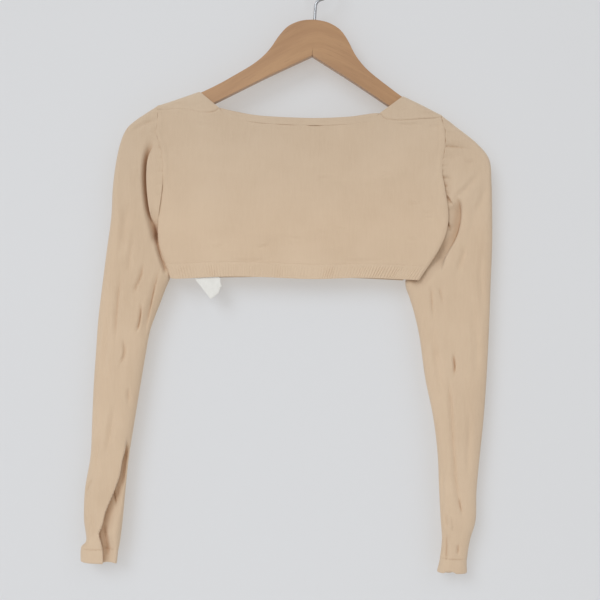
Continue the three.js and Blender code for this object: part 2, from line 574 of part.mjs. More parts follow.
// A strip of cloth from the near seam, over the wood and down to the far seam. Its feet follow
// the top edges of the two panels, from the armhole to the neck.
function shoulderMesh(name, ridgeRows, outward) {
  const ridge = edgeCurve(ridgeRows);
  const nearColumns = outward > 0 ? panelColumns(back).right.toReversed() : panelColumns(back).left;
  const farColumns = outward > 0 ? panelColumns(front).right.toReversed() : panelColumns(front).left;
  const arc = [0, 0.2, 0.4, 0.6, 0.8, 1];
  const climb = [{ straight: 0, angle: 0 }, { straight: 0.5, angle: 0 },
    ...arc.map((share) => ({ straight: 1, angle: (share * Math.PI) / 2 }))];
  const section = [...climb.map((c) => ({ ...c, side: nearSide })),
    ...climb.slice(0, -1).reverse().map((c) => ({ ...c, side: farSide }))];
  const point = (index, { straight, angle, side }, lift) => {
    const top = ridge.getPointAt(index / columnCounts.seam);
    const near = side === nearSide;
    const foot = near ? back.edges.top.getPointAt(nearColumns[index]) : front.edges.top.getPointAt(farColumns[index]);
    const height = top.y - foot.y - seamGap;
    const rounding = Math.min(shoulderRound, height * 0.8);
    const rise = straight * (height - rounding) + rounding * Math.sin(angle);
    const x = mix(foot.x, top.x, rise / height);
    const z = foot.y + seamGap + rise + (lift - wall / 2) * Math.sin(angle);
    const half = (panelHalf(x, foot.y, side) + lift) * Math.cos(angle);
    return [x - outward * sideTrim * (1 - index / columnCounts.seam), near ? -half : half, z];
  };
  const columns = range(columnCounts.seam);
  const grid = (lift) => section.map((turn) => columns.map((_, index) => point(index, turn, lift)));
  const outer = grid(wall / 2);
  const inner = grid(-wall / 2);
  const turns = range(section.length - 1);
  const flip = outward > 0;
  const triangles = [];
  for (let i = 0; i < section.length - 1; i += 1) {
    triangles.push(...zip(outer[i], outer[i + 1], columns, columns, !flip));
    triangles.push(...zip(inner[i], inner[i + 1], columns, columns, flip));
  }
  const end = section.length - 1;
  triangles.push(...zip(outer[0], inner[0], columns, columns, flip));
  triangles.push(...zip(outer[end], inner[end], columns, columns, !flip));
  const side = (rows, index) => rows.map((row) => row[index]);
  triangles.push(...zip(side(outer, 0), side(inner, 0), turns, turns, !flip));
  triangles.push(...zip(side(outer, columns.length - 1), side(inner, columns.length - 1), turns, turns, flip));
  return meshFrom(name, triangles, clothColour);
}

// ---------------------------------------------------------------- care label

// A folded white tape, both ends in the side of the hem, hanging just behind the back panel.
function labelMesh() {
  const label = { wall: 0.8, width: 26, drop: 40, depth: -4.3, from: -140.5, top: -206.8, lean: 38 };
  const shape = new THREE.Shape();
  const lean = THREE.MathUtils.degToRad(label.lean);
  const across = new THREE.Vector2(Math.cos(lean), Math.sin(lean));
  const down = new THREE.Vector2(Math.sin(lean), -Math.cos(lean));
  const corner = (a, d) => [label.from + across.x * a + down.x * d, label.top + across.y * a + down.y * d];
  shape.moveTo(...corner(0, 0));
  shape.lineTo(...corner(0, label.drop));
  shape.lineTo(...corner(label.width, label.drop));
  shape.lineTo(...corner(label.width, 0));
  const geometry = new THREE.ExtrudeGeometry(shape, { depth: label.wall, bevelEnabled: false });
  geometry.rotateX(Math.PI / 2);
  geometry.translate(0, label.depth, 0);
  const material = new THREE.MeshStandardMaterial({ color: 0xe4dfd6, roughness: 0.6, metalness: 0 });
  const mesh = new THREE.Mesh(geometry, material);
  mesh.name = 'care_label';
  return mesh;
}

// ---------------------------------------------------------------- hanger

const hookRise = Math.sqrt(hook.radius ** 2 + 2 * hook.radius * hook.fillet);

// One arm, cut from flat board with rounded edges; side is -1 for the left, 1 for the right.
function armMesh(name, side) {
  const half = seamGap / 2;
  const top = new THREE.SplineCurve(armTop.map((p) => new THREE.Vector2(p.across + half, p.height)));
  const points = top.getPoints(30);
  points.push(new THREE.Vector2(half, -wood.crotch));
  const shape = new THREE.Shape(points.map((p) => new THREE.Vector2(p.x * side, p.y)));
  const geometry = new THREE.ExtrudeGeometry(shape, {
    depth: wood.thickness - 2 * wood.edge, bevelEnabled: true, bevelThickness: wood.edge,
    bevelSize: wood.edge, bevelOffset: -wood.edge, bevelSegments: 2, steps: 1,
  });
  geometry.rotateX(Math.PI / 2);
  geometry.translate(0, wood.thickness / 2 - wood.edge, -hookRise - hook.stem - seamGap);
  const material = new THREE.MeshStandardMaterial({ color: woodColour, roughness: 0.45, metalness: 0 });
  const mesh = new THREE.Mesh(geometry, material);
  mesh.name = name;
  return mesh;
}

// The line of the hook's wire: up the stem, a short bend outwards, and round the rail.
class HookLine extends THREE.Curve {
  getPoint(share) {
    const bend = Math.acos(1 - (hook.radius * hook.fillet) / (hook.radius + hook.fillet) / hook.fillet);
    const start = -Math.atan2(hookRise, hook.fillet);
    const turn = THREE.MathUtils.degToRad(hook.tipAngle) - start;
    const lengths = [hook.stem, hook.fillet * bend, hook.radius * turn];
    let walked = share * (lengths[0] + lengths[1] + lengths[2]);
    if (walked < lengths[0]) return new THREE.Vector3(0, 0, -hookRise - hook.stem + walked);
    walked -= lengths[0];
    if (walked < lengths[1]) {
      const angle = walked / hook.fillet;
      const x = hook.fillet * (1 - Math.cos(angle));
      return new THREE.Vector3(x, 0, -hookRise + hook.fillet * Math.sin(angle));
    }
    const angle = start + (walked - lengths[1]) / hook.radius;
    return new THREE.Vector3(hook.radius * Math.cos(angle), 0, hook.radius * Math.sin(angle));
  }
}

function hookMesh() {
  const section = new THREE.Shape();
  for (let i = 0; i < hook.sides; i += 1) {
    const angle = (i * 2 * Math.PI) / hook.sides;
    const corner = [(hook.wire / 2) * Math.cos(angle), (hook.wire / 2) * Math.sin(angle)];
    if (i === 0) section.moveTo(...corner);
    else section.lineTo(...corner);
  }
  const geometry = new THREE.ExtrudeGeometry(section, { extrudePath: new HookLine(), steps: hook.steps });
  const material = new THREE.MeshStandardMaterial({ color: 0xb9bcc0, roughness: 0.25, metalness: 1 });
  const mesh = new THREE.Mesh(geometry, material);
  mesh.name = 'hanger_hook';
  return mesh;
}

// ---------------------------------------------------------------- assembly

const hanger = new THREE.Group();
hanger.position.set(0, 0, -(hook.radius - hook.wire / 2));
hanger.rotation.y = THREE.MathUtils.degToRad(wood.roll);
hanger.add(armMesh('hanger_arm_left', -1), armMesh('hanger_arm_right', 1), hookMesh());

const back = {
  side: nearSide, neck: backNeck,
  edges: {
    left: edgeCurve(backLeftEdge), right: edgeCurve(backRightEdge),
    top: edgeCurve(backTop), hem: edgeCurve(backHem),
  },
};
const front = {
  side: farSide, neck: frontNeck,
  edges: {
    left: edgeCurve(backLeftEdge), right: edgeCurve(frontRightEdge),
    top: edgeCurve(frontTop), hem: edgeCurve(frontHem),
  },
};

const rightSleeveParts = makeSleeve(rightSleeve, frontRightEdge, 1, rightSleeveFolds, gathers.right);
const leftSleeveParts = makeSleeve(leftSleeve, backLeftEdge, -1, leftSleeveFolds, gathers.left);

const garment = new THREE.Group();
garment.position.set(garmentPlace.across, 0, garmentPlace.height);
garment.add(
  ...panelMeshes('back', back),
  ...panelMeshes('front', front),
  shoulderMesh('shoulder_left', leftRidge, -1),
  shoulderMesh('shoulder_right', rightRidge, 1),
  ...sleeveMeshes('left', leftSleeveParts),
  ...sleeveMeshes('right', rightSleeveParts),
  labelMesh(),
);

const bolero = new THREE.Group();
bolero.add(hanger, garment);

export default bolero;
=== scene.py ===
import bpy, math
import numpy as np
from functools import partial
from mathutils import Matrix, Vector, noise


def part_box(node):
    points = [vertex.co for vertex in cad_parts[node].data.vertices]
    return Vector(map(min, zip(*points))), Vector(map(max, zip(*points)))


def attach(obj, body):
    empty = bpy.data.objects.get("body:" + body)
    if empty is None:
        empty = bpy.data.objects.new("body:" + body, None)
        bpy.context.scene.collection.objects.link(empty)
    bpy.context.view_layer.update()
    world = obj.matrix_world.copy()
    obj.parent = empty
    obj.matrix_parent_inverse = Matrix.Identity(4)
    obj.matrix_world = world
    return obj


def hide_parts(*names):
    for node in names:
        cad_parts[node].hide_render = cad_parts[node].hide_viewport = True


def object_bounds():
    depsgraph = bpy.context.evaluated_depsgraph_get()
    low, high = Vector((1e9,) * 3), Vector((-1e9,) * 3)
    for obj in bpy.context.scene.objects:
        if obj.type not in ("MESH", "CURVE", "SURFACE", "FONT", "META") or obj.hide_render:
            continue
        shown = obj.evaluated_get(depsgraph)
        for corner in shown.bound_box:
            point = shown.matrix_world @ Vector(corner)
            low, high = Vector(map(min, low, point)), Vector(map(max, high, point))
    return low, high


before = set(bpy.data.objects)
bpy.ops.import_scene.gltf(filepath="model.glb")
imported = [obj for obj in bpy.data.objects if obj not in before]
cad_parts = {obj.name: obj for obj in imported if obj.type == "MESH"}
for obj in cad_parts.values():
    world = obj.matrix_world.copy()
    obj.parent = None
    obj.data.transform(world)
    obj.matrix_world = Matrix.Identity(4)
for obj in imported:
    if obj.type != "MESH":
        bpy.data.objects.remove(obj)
cadLow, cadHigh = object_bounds()
scene = bpy.context.scene
scene.view_settings.view_transform = "Standard"
print("frame loaded")

# The knit bolero hangs on a flat wooden hanger. The tables are in millimetres, measured on the
# garment from the middle of its shoulder seam level; x is across and z is up.
mm = 0.001
nearSide, farSide = 1, -1

cloth = {
    "wall": 1.5,
    "seamGap": 0.12,
    "bodyHalf": 7.2,          # middle plane to the middle of a panel's wall
    "hemHalf": 6.2,           # the same at the hem
    "hemFrom": 30, "hemOver": 160,                        # how far down the panels start to close
    "neckIn": 0.8, "neckAcross": 120, "neckFrom": 10, "neckOver": 80,      # closer at the open neck
    "ridgeRise": 1.1, "ridgeFall": 2.2,                   # how wide the slopes of a seam's ridge are
    "sharpFall": 2.2,         # how steeply a sharp crease's sides fall
    "lipReach": 11.0,         # how far back from its lip a leaning crease draws the cloth
    "labelLeft": -140.5,      # left corner of the label
    "hemLow": -214.0,         # lowest corner of the hem
}
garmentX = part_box("care_label")[0].x - cloth["labelLeft"] * mm
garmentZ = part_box("rib_back")[0].z - cloth["hemLow"] * mm


def ease(share):
    s = np.clip(share, 0, 1)
    return s * s * (3 - 2 * s)


def mix(a, b, share):
    return a + (b - a) * share


def tableAt(values, place):
    # smooth value of one column at a fractional row, Catmull-Rom
    values = np.asarray(values, float)
    last = len(values) - 1
    i = np.clip(np.floor(place).astype(int), 0, last - 1)
    t = place - i
    p0, p1 = values[np.maximum(i - 1, 0)], values[i]
    p2, p3 = values[i + 1], values[np.minimum(i + 2, last)]
    bend = (2 * p0 - 5 * p1 + 4 * p2 - p3) * t * t + (3 * p1 - p0 - 3 * p2 + p3) * t ** 3
    return 0.5 * (2 * p1 + (p2 - p0) * t + bend)


def smoothLine(points, stepsEach=40):
    # a smooth line through the points; gives (x, z) at a share of its length
    points = np.array(points, float)
    places = np.linspace(0, len(points) - 1, (len(points) - 1) * stepsEach + 1)
    xs, zs = tableAt(points[:, 0], places), tableAt(points[:, 1], places)
    walked = np.concatenate([[0], np.cumsum(np.hypot(np.diff(xs), np.diff(zs)))])

    def at(share):
        return np.interp(share, walked / walked[-1], xs), np.interp(share, walked / walked[-1], zs)

    at.length = walked[-1]
    return at


def readTable(columns, rows):
    return [dict(zip(columns, row)) for row in rows]


def column(table, key):
    return np.array([row[key] for row in table], float)


# A crease has a path; a depth, or a height if below 0; its widths left and right of the path; the
# shares of its length over which it starts and ends; its sharpness, where 0 is round and 1 is
# sharp; and, if its left lip leans over it, or its right one if below 0, how far.
creaseColumns = ("path", "depth", "before", "after", "fadeIn", "fadeOut", "sharp", "lean")


def creaseRows(side, rows):
    return [dict(zip(creaseColumns, row), side=side) for row in rows]


def besideCrease(x, z, crease, reach):
    # the points within reach of a crease's line: how far off they are, whether on its left, how
    # strong the crease is there, as it dies away at both ends, and the step across to the line
    knots = max(len(crease["path"]) * 5, 8)
    px, pz = smoothLine(crease["path"])(np.linspace(0, 1, knots))
    near = (x > px.min() - reach) & (x < px.max() + reach) & (z > pz.min() - reach) & (z < pz.max() + reach)
    nx, nz = x[near], z[near]
    nearest, along = np.full(nx.shape, 1e9), np.zeros(nx.shape)
    leftOf, stepX, stepZ = np.zeros(nx.shape, bool), np.zeros(nx.shape), np.zeros(nx.shape)
    walked = 0.0
    for ax, az, bx, bz in zip(px[:-1], pz[:-1], px[1:], pz[1:]):
        length = math.hypot(bx - ax, bz - az)
        share = np.clip(((nx - ax) * (bx - ax) + (nz - az) * (bz - az)) / length ** 2, 0, 1)
        toX, toZ = mix(ax, bx, share) - nx, mix(az, bz, share) - nz
        closer = np.hypot(toX, toZ) < nearest
        nearest = np.where(closer, np.hypot(toX, toZ), nearest)
        leftOf = np.where(closer, (bx - ax) * (nz - az) - (bz - az) * (nx - ax) > 0, leftOf)
        along = np.where(closer, walked + share * length, along)
        stepX, stepZ = np.where(closer, toX, stepX), np.where(closer, toZ, stepZ)
        walked += length
    place = along / walked
    strength = ease(place / max(crease["fadeIn"], 1e-6)) * ease((1 - place) / max(crease["fadeOut"], 1e-6))
    strength = np.where((crease["fadeIn"] == 0) & (place <= 0), 1.0, strength)
    strength = np.where((crease["fadeOut"] == 0) & (place >= 1), 1.0, strength)
    return near, nearest, leftOf, strength, stepX, stepZ


def creaseSum(x, z, side, creases):
    total = np.zeros(x.shape)
    for crease in creases:
        if crease["side"] != side:
            continue
        reach = max(crease["before"], crease["after"])
        near, distance, leftOf, strength, _, _ = besideCrease(x, z, crease, reach)
        t = np.clip(distance / np.where(leftOf, crease["before"], crease["after"]), 0, 1)
        profile = mix(0.5 + 0.5 * np.cos(math.pi * t), (1 - t) ** cloth["sharpFall"], crease["sharp"])
        total[near] += crease["depth"] * profile * strength
    return total


def creaseLean(x, z, side, creases):
    # a leaning crease draws the lip on one side over its own hollow: the step of each point
    shiftX, shiftZ = np.zeros(x.shape), np.zeros(x.shape)
    for crease in creases:
        lean = crease.get("lean", 0)
        if crease["side"] != side or not lean:
            continue
        lip = crease["before"] if lean > 0 else crease["after"]
        back = cloth["lipReach"]
        near, distance, leftOf, strength, stepX, stepZ = besideCrease(x, z, crease, lip + back)
        drawn = abs(lean) * ease(distance / lip) * (1 - ease((distance - lip) / back)) * strength
        drawn *= (leftOf == (lean > 0)) / np.maximum(distance, 1e-6)
        shiftX[near] += stepX * drawn
        shiftZ[near] += stepZ * drawn
    return shiftX, shiftZ


def bySide(near, work, x, z, creases):
    # what work gives for the near side where near is true, and for the far side elsewhere
    return np.where(near, work(x, z, nearSide, creases), work(x, z, farSide, creases))


def seamRidge(distance, height, width):
    # cloth is thick just beside a seam and dips to the thread in it
    ended = ease((distance - width) / cloth["ridgeFall"])
    return height * ease(distance / cloth["ridgeRise"]) * (1 - ended)


def unevenness(x, z, layer, size, across, along):
    # slow soft waves that no cloth is without; across and along are their lengths, and each layer
    # has waves of its own
    where = zip((x / across).tolist(), (z / along).tolist())
    return size * np.array([noise.noise((a, b, layer * 7.3)) for a, b in where])


def deselectAll():
    if bpy.context.mode != "OBJECT":
        bpy.ops.object.mode_set(mode="OBJECT")
    bpy.ops.object.select_all(action="DESELECT")


def takeUp(piece):
    deselectAll()
    piece.select_set(True)
    bpy.context.view_layer.objects.active = piece


def applyModifier(piece, kind, **values):
    takeUp(piece)
    modifier = piece.modifiers.new(kind.title(), kind)
    for key, value in values.items():
        setattr(modifier, key, value)
    bpy.ops.object.modifier_apply(modifier=modifier.name)


def shadeSmooth(piece, degrees):
    takeUp(piece)
    bpy.ops.object.shade_smooth_by_angle(angle=math.radians(degrees))


def named(name):
    # names what was just added
    piece = bpy.context.object
    piece.name = piece.data.name = name
    return piece


def newGrid(name, columns, rows):
    # a flat grid, and each vertex's shares: u from left to right, v from top to bottom
    deselectAll()
    bpy.ops.mesh.primitive_grid_add(x_subdivisions=columns, y_subdivisions=rows, size=2)
    grid = named(name)
    spots = np.empty(len(grid.data.vertices) * 3)
    grid.data.vertices.foreach_get("co", spots)
    return grid, (spots[0::3] + 1) / 2, (1 - spots[1::3]) / 2


def moveVertices(piece, x, y, z):
    spots = np.column_stack(np.broadcast_arrays(x, y, z))
    piece.data.vertices.foreach_set("co", spots.ravel())
    piece.data.update()


def mergeClose(piece, distance):
    takeUp(piece)
    bpy.ops.object.mode_set(mode="EDIT")
    bpy.ops.mesh.select_all(action="SELECT")
    bpy.ops.mesh.remove_doubles(threshold=distance * mm)
    bpy.ops.object.mode_set(mode="OBJECT")


def clothSheet(name, columns, rows, place, knit, wall, closed=False):
    # a grid of cloth; place gives x, y, z in garment millimetres and knit its own flat measure
    sheet, u, v = newGrid(name, columns, rows)
    x, y, z = place(u, v)
    moveVertices(sheet, x * mm + garmentX, y * mm, z * mm + garmentZ)
    mesh = sheet.data
    corners = np.empty(len(mesh.loops), int)
    mesh.loops.foreach_get("vertex_index", corners)
    knitX, knitZ = knit(u, v)
    mesh.uv_layers.active.name = "knit"
    flat = np.column_stack([knitX[corners], knitZ[corners]]) * mm
    mesh.uv_layers.active.data.foreach_set("uv", flat.ravel())
    mesh.update()
    if closed:
        mergeClose(sheet, 0.02)
    applyModifier(sheet, "SOLIDIFY", thickness=wall * mm, offset=0)
    applyModifier(sheet, "BEVEL", width=0.22 * wall * mm, segments=2, limit_method="ANGLE",
                  angle_limit=math.radians(60), harden_normals=False)
    shadeSmooth(sheet, 55)
    return sheet


# The body: two panels with their ribbed hems and turned neckbands.
body = {
    "columns": 236, "rows": 116,
    "neckTaper": 6, "neckBlend": 5,                # over what length the neckband and the seam's ridge end
    "armholeRidge": 0.75, "armholeRidgeWidth": 4.2, "shoulderRidge": 0.4, "shoulderRidgeWidth": 2.2,
    "grooveReach": 2.4,                            # how far the groove of the top seam is felt
    "foldFrom": 80, "foldOver": 20,                # where the armhole seam ends and the side fold starts
    "foldIn": 1.5, "foldReach": 4.5,
    "ribIn": 0.12, "ribReach": 3,                  # the panel dips to the rib's seam
    "waves": [(0.28, 46, 15), (0.1, 17, 6)],       # size, length across and length down
}
ribbing = {
    "height": 20, "pitch": 3.4, "relief": 0.42, "wall": 1.3, "out": 0.1, "seamIn": 0.2, "seamReach": 2,
    "startsOver": 0.3, "endsOver": 0.05, "atEdge": 0.35,      # how the relief starts and ends, as shares
    "strength": 0.62, "weakest": 0.2, "patches": (0.8, 21, 1),      # it is weaker in patches
    "wander": [(0.16, 41, 0), (0.1, 97, 3)],       # how far, in ribs, and its turns across and down
}
# neckbands and cuffs are turned in, so they have two layers
turnedEdge = {"layer": 1.0, "apart": 1.1, "fold": 1.4, "out": 0.12}
neckband = {
    "columns": 170, "rows": 24, "height": 9, "endTrim": 0.4,
    "flush": -0.3, "grooved": 0.8, "outSlope": 1.5,      # it stands out where its seam is grooved
}
leftEdge = [(-184, 4), (-184, -12), (-186, -25), (-181, -40), (-177, -62), (-177.5, -88), (-180, -111),
            (-183, -135), (-182, -168), (-174, -192), (-168, -211)]
rightArmhole = [(180, -6), (185, -23), (185, -42), (181.5, -62), (181, -79)]
backRightEdge = rightArmhole + [(184, -95), (188.5, -124), (187, -148), (179, -170), (165, -193),
                                (151, -214)]
frontRightEdge = rightArmhole + [(182, -98), (177, -131), (162, -163), (141, -193), (132, -214)]
backTop = [(-184, 4), (-150, 5), (-128, 1), (-112, 2), (-104, 6), (-90, 3), (-52, -3.5), (12, -6.5),
           (60, -5), (98, -0.5), (108, -7), (129, -9), (155, -7), (180, -6)]
frontTop = [(-184, 4), (-150, 6), (-124, 5), (-112, -2), (-80, -18), (-40, -27), (0, -30), (40, -28),
            (80, -21), (112, -8), (124, -4), (150, -5), (180, -6)]
backHem = [(-168, -211), (-155, -212), (-100, -209.5), (-50, -210), (14, -212.5), (80, -211), (151, -214)]
frontHem = [(-168, -211), (-90, -210), (0, -209), (70, -211), (132, -214)]


def bodyPiece(name, side, neckFrom, neckTo, rightEdge, top, hem):
    edges = {"left": leftEdge, "right": rightEdge, "top": top, "hem": hem}
    lines = {edge: smoothLine(points) for edge, points in edges.items()}
    return {"name": name, "side": side, "neckFrom": neckFrom, "neckTo": neckTo, **lines}


backPiece = bodyPiece("back", nearSide, -104, 100, backRightEdge, backTop, backHem)
frontPiece = bodyPiece("front", farSide, -121, 122, frontRightEdge, frontTop, frontHem)

panelCreases = creaseRows(nearSide, [
    # broad waves, as deep as the body's own
    ([(-170, -60), (-120, -66), (-40, -60)], 0.9, 14, 14, 0.4, 0.5, 0),
    ([(20, -92), (90, -84), (150, -72)], -0.9, 16, 16, 0.4, 0.4, 0),
    ([(-150, -150), (-60, -168), (60, -160)], 0.8, 15, 15, 0.4, 0.4, 0),
    ([(188, -110), (188, -140), (176, -178), (150, -212)], -1.6, 30, 30, 0.3, 0, 0),
    # small level creases
    ([(20, -81), (32, -82.5), (44, -81.5)], 0.6, 3, 5, 0.4, 0.5, 0.6),
    ([(98, -77), (108, -78.5), (119, -78)], 0.68, 3, 5, 0.4, 0.5, 0.6),
    ([(134, -114), (146, -116), (160, -114)], 0.75, 3, 6, 0.4, 0.5, 0.5),
    ([(150, -126), (162, -128), (174, -126)], 0.75, 3, 4, 0.4, 0.4, 0.6),
    ([(153, -132), (163, -134), (172, -133)], 0.6, 2.5, 4, 0.4, 0.4, 0.6),
    ([(18, -151), (28, -153), (40, -151.5)], 0.68, 3, 5, 0.4, 0.5, 0.6),
    ([(44, -147), (54, -148.5), (62, -148)], 0.52, 3, 4, 0.4, 0.5, 0.6),
    ([(-22, -158), (-8, -160), (8, -158.5)], 0.68, 3, 5, 0.4, 0.5, 0.5),
    ([(132, -160), (144, -162), (155, -160)], 0.75, 3, 5, 0.4, 0.5, 0.5),
    ([(-121, -169), (-108, -171), (-92, -169)], 0.75, 3, 6, 0.4, 0.5, 0.5),
    ([(-60, -173), (-46, -170), (-34, -166)], 0.95, 3, 6, 0.4, 0.5, 0.5),
    ([(-96, -187), (-70, -189), (-36, -187.5)], 1.05, 3.5, 6, 0.3, 0.4, 0.5),
    ([(44, -187.5), (80, -189), (120, -187)], 0.75, 3, 6, 0.3, 0.4, 0.5),
    ([(121, -13), (140, -14.5), (160, -12)], 1.1, 2.4, 4, 0.3, 0.4, 0.4),
    ([(163, -16), (171, -17.5), (179, -16)], 0.75, 3, 4, 0.3, 0.2, 0.5),
    ([(-178, -52), (-166, -50), (-150, -54)], 0.52, 4, 6, 0.3, 0.5, 0.3),
    ([(-150, -12), (-132, -15), (-112, -14)], 0.6, 4, 5, 0.4, 0.4, 0.3),
]) + creaseRows(farSide, [
    # the hidden side, much the same
    ([(-150, -80), (-60, -70), (40, -84)], 0.9, 15, 15, 0.4, 0.4, 0),
    ([(-40, -150), (60, -160), (130, -140)], -0.9, 16, 16, 0.4, 0.4, 0),
    ([(-150, -120), (-128, -124), (-104, -121)], 0.6, 3, 6, 0.4, 0.5, 0.5),
    ([(-60, -112), (-40, -115), (-24, -113)], 0.5, 3, 5, 0.4, 0.5, 0.5),
    ([(30, -98), (48, -100), (60, -98)], 0.45, 3, 5, 0.4, 0.5, 0.6),
    ([(92, -118), (112, -121), (134, -118)], 0.6, 3, 6, 0.4, 0.5, 0.5),
    ([(-130, -166), (-104, -169), (-84, -166)], 0.6, 3, 6, 0.4, 0.5, 0.5),
    ([(-18, -172), (8, -174), (30, -172)], 0.5, 3, 5, 0.4, 0.5, 0.6),
    ([(-92, -186), (-52, -188), (-20, -186)], 0.6, 3.5, 6, 0.3, 0.4, 0.5),
    ([(52, -187), (84, -189), (112, -187)], 0.5, 3, 6, 0.3, 0.4, 0.5),
])


def patchPoint(piece, u, v):
    # a Coons patch between the piece's four edges
    def across(first, second, place, share):
        return mix(np.array(piece[first](place)), np.array(piece[second](place)), share)

    corners = mix(across("left", "right", np.zeros(1), u), across("left", "right", np.ones(1), u), v)
    return across("left", "right", v, u) + across("top", "hem", u, v) - corners


def panelHalf(x, z):
    # the middle of a smooth panel's wall, from the middle plane: closer at the hem and the open neck
    closing = (cloth["bodyHalf"] - cloth["hemHalf"]) * ease((-z - cloth["hemFrom"]) / cloth["hemOver"])
    neck = cloth["neckIn"] * (1 - ease(np.abs(x) / cloth["neckAcross"]))
    neck *= 1 - ease((-z - cloth["neckFrom"]) / cloth["neckOver"])
    return cloth["bodyHalf"] - closing - neck


def pieceHeight(piece, u):
    return piece["top"](u)[1] - piece["hem"](u)[1]


def neckShare(piece, u):
    across = piece["top"](u)[0]
    inside = np.minimum(across - piece["neckFrom"], piece["neckTo"] - across)
    return ease(inside / body["neckTaper"]) * neckband["height"] / pieceHeight(piece, u)


def ribShare(piece, u):
    return 1 - ribbing["height"] / pieceHeight(piece, u)


def onBody(piece, u, v, lift=0):
    # a point of a body piece's middle wall, lift outwards
    x, z = patchPoint(piece, u, v)
    side = piece["side"]
    half = panelHalf(x, z) - creaseSum(x, z, side, panelCreases) + lift
    half += sum(unevenness(x, z, side, *wave) for wave in body["waves"])
    return x, -side * half, z


def sideFold(fromSide):
    # the side of the body is a soft fold, turned in below the armhole
    return body["foldIn"] * (1 - ease(fromSide / body["foldReach"])) ** 2


def turned(piece, u):
    # the far side runs the other way, so that its faces point out
    return u if piece["side"] == nearSide else 1 - u


# how deep the groove along a panel's top seam is, from place to place: it shows here and there
seamDepths = readTable(("across", "depth"), [
    (-184, 0.25), (-150, 0.1), (-124, 0.2), (-118, 1.1), (-106, 1.1), (-100, 0), (-72, 0), (-62, 0.2),
    (-48, 0.3), (-38, 0), (-28, 0.35), (-14, 0.35), (-4, 0), (4, 0), (12, 0.75), (20, 0.75), (28, 0.15),
    (37, 0.25), (52, 0.15), (70, 0), (98, 0), (102, 0.9), (155, 0.8), (180, 0.5),
])


def seamLine(across):
    return np.interp(across, column(seamDepths, "across"), column(seamDepths, "depth"))


def bodyPanel(piece):
    width = piece["hem"].length

    def place(u, v):
        u = turned(piece, u)
        start, end = neckShare(piece, u), ribShare(piece, u)
        down = mix(start, end, v)
        height = pieceHeight(piece, u)
        below = (down - start) * height
        across, blend = piece["top"](u)[0], body["neckBlend"]
        onNeck = ease((across - piece["neckFrom"]) / blend) * ease((piece["neckTo"] - across) / blend)
        fromSide = np.minimum(u, 1 - u) * width
        lift = seamRidge(below, body["shoulderRidge"], body["shoulderRidgeWidth"]) * (1 - onNeck)
        lift -= seamLine(across) * (1 - ease(below / body["grooveReach"]))
        armhole = 1 - ease((down * height - body["foldFrom"]) / body["foldOver"])
        lift += seamRidge(fromSide, body["armholeRidge"], body["armholeRidgeWidth"]) * armhole
        lift -= sideFold(fromSide) * (1 - armhole)
        lift -= body["ribIn"] * (1 - ease((end - down) * height / body["ribReach"]))
        return onBody(piece, u, down, lift)

    def knit(u, v):
        u = turned(piece, u)
        return u * width, v * (pieceHeight(piece, u) - ribbing["height"])

    sheet = clothSheet(f"{piece['name']}Panel", body["columns"], body["rows"], place, knit, cloth["wall"])
    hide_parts(f"panel_{piece['name']}")
    return sheet


def ribBand(piece):
    width, side = piece["hem"].length, piece["side"]
    ribs = round(width / ribbing["pitch"])

    def place(u, v):
        u = turned(piece, u)
        down = mix(ribShare(piece, u), 1, v)
        wander = sum(size * np.sin(u * across + v * along) for size, across, along in ribbing["wander"])
        wave = np.cos(2 * math.pi * (ribs * u + wander))
        strength = ease(v / ribbing["startsOver"]) * ease((1 - v) / ribbing["endsOver"] + ribbing["atEdge"])
        patches = unevenness(u * width, u * 0, side, *ribbing["patches"])
        strength *= np.clip(ribbing["strength"] + patches, ribbing["weakest"], 1)
        lift = ribbing["out"] + ribbing["relief"] * wave * strength
        lift -= ribbing["seamIn"] * (1 - ease(v * ribbing["height"] / ribbing["seamReach"]))
        return onBody(piece, u, down, lift - sideFold(np.minimum(u, 1 - u) * width))

    def knit(u, v):
        return turned(piece, u) * width, v * ribbing["height"]

    # eight columns of the grid to each rib
    sheet = clothSheet(f"{piece['name']}Rib", ribs * 8, 12, place, knit, ribbing["wall"])
    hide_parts(f"rib_{piece['name']}")
    return sheet


def shareAtAcross(line, across):
    shares = np.linspace(0, 1, 4001)
    return float(np.interp(across, line(shares)[0], shares))


def layersApart(fromFold):
    # how far each layer of a turned edge stands from its middle
    turn = 1 - np.clip(fromFold / turnedEdge["fold"], 0, 1)
    return turnedEdge["apart"] / 2 * np.sqrt(1 - turn * turn)


def neckBand(piece):
    start = shareAtAcross(piece["top"], piece["neckFrom"] + neckband["endTrim"])
    end = shareAtAcross(piece["top"], piece["neckTo"] - neckband["endTrim"])
    width = (end - start) * piece["top"].length

    def place(u, v):
        # up the inside, over the turned edge and down the outside
        u = mix(start, end, turned(piece, u))
        down = np.abs(v * 2 - 1)
        groove = seamLine(piece["top"](u)[0])
        proud = np.interp(groove, [0, neckband["grooved"]], [neckband["flush"], turnedEdge["out"]])
        lift = proud * ease(down * neckband["outSlope"])
        lift += np.sign(v - 0.5) * layersApart(down * neckband["height"])
        return onBody(piece, u, down * neckShare(piece, u), lift)

    def knit(u, v):
        return turned(piece, u) * width, v * neckband["height"] * 2

    name, columns, rows = f"{piece['name']}Neckband", neckband["columns"], neckband["rows"]
    sheet = clothSheet(name, columns, rows, place, knit, turnedEdge["layer"])
    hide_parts(f"neckband_{piece['name']}")
    return sheet


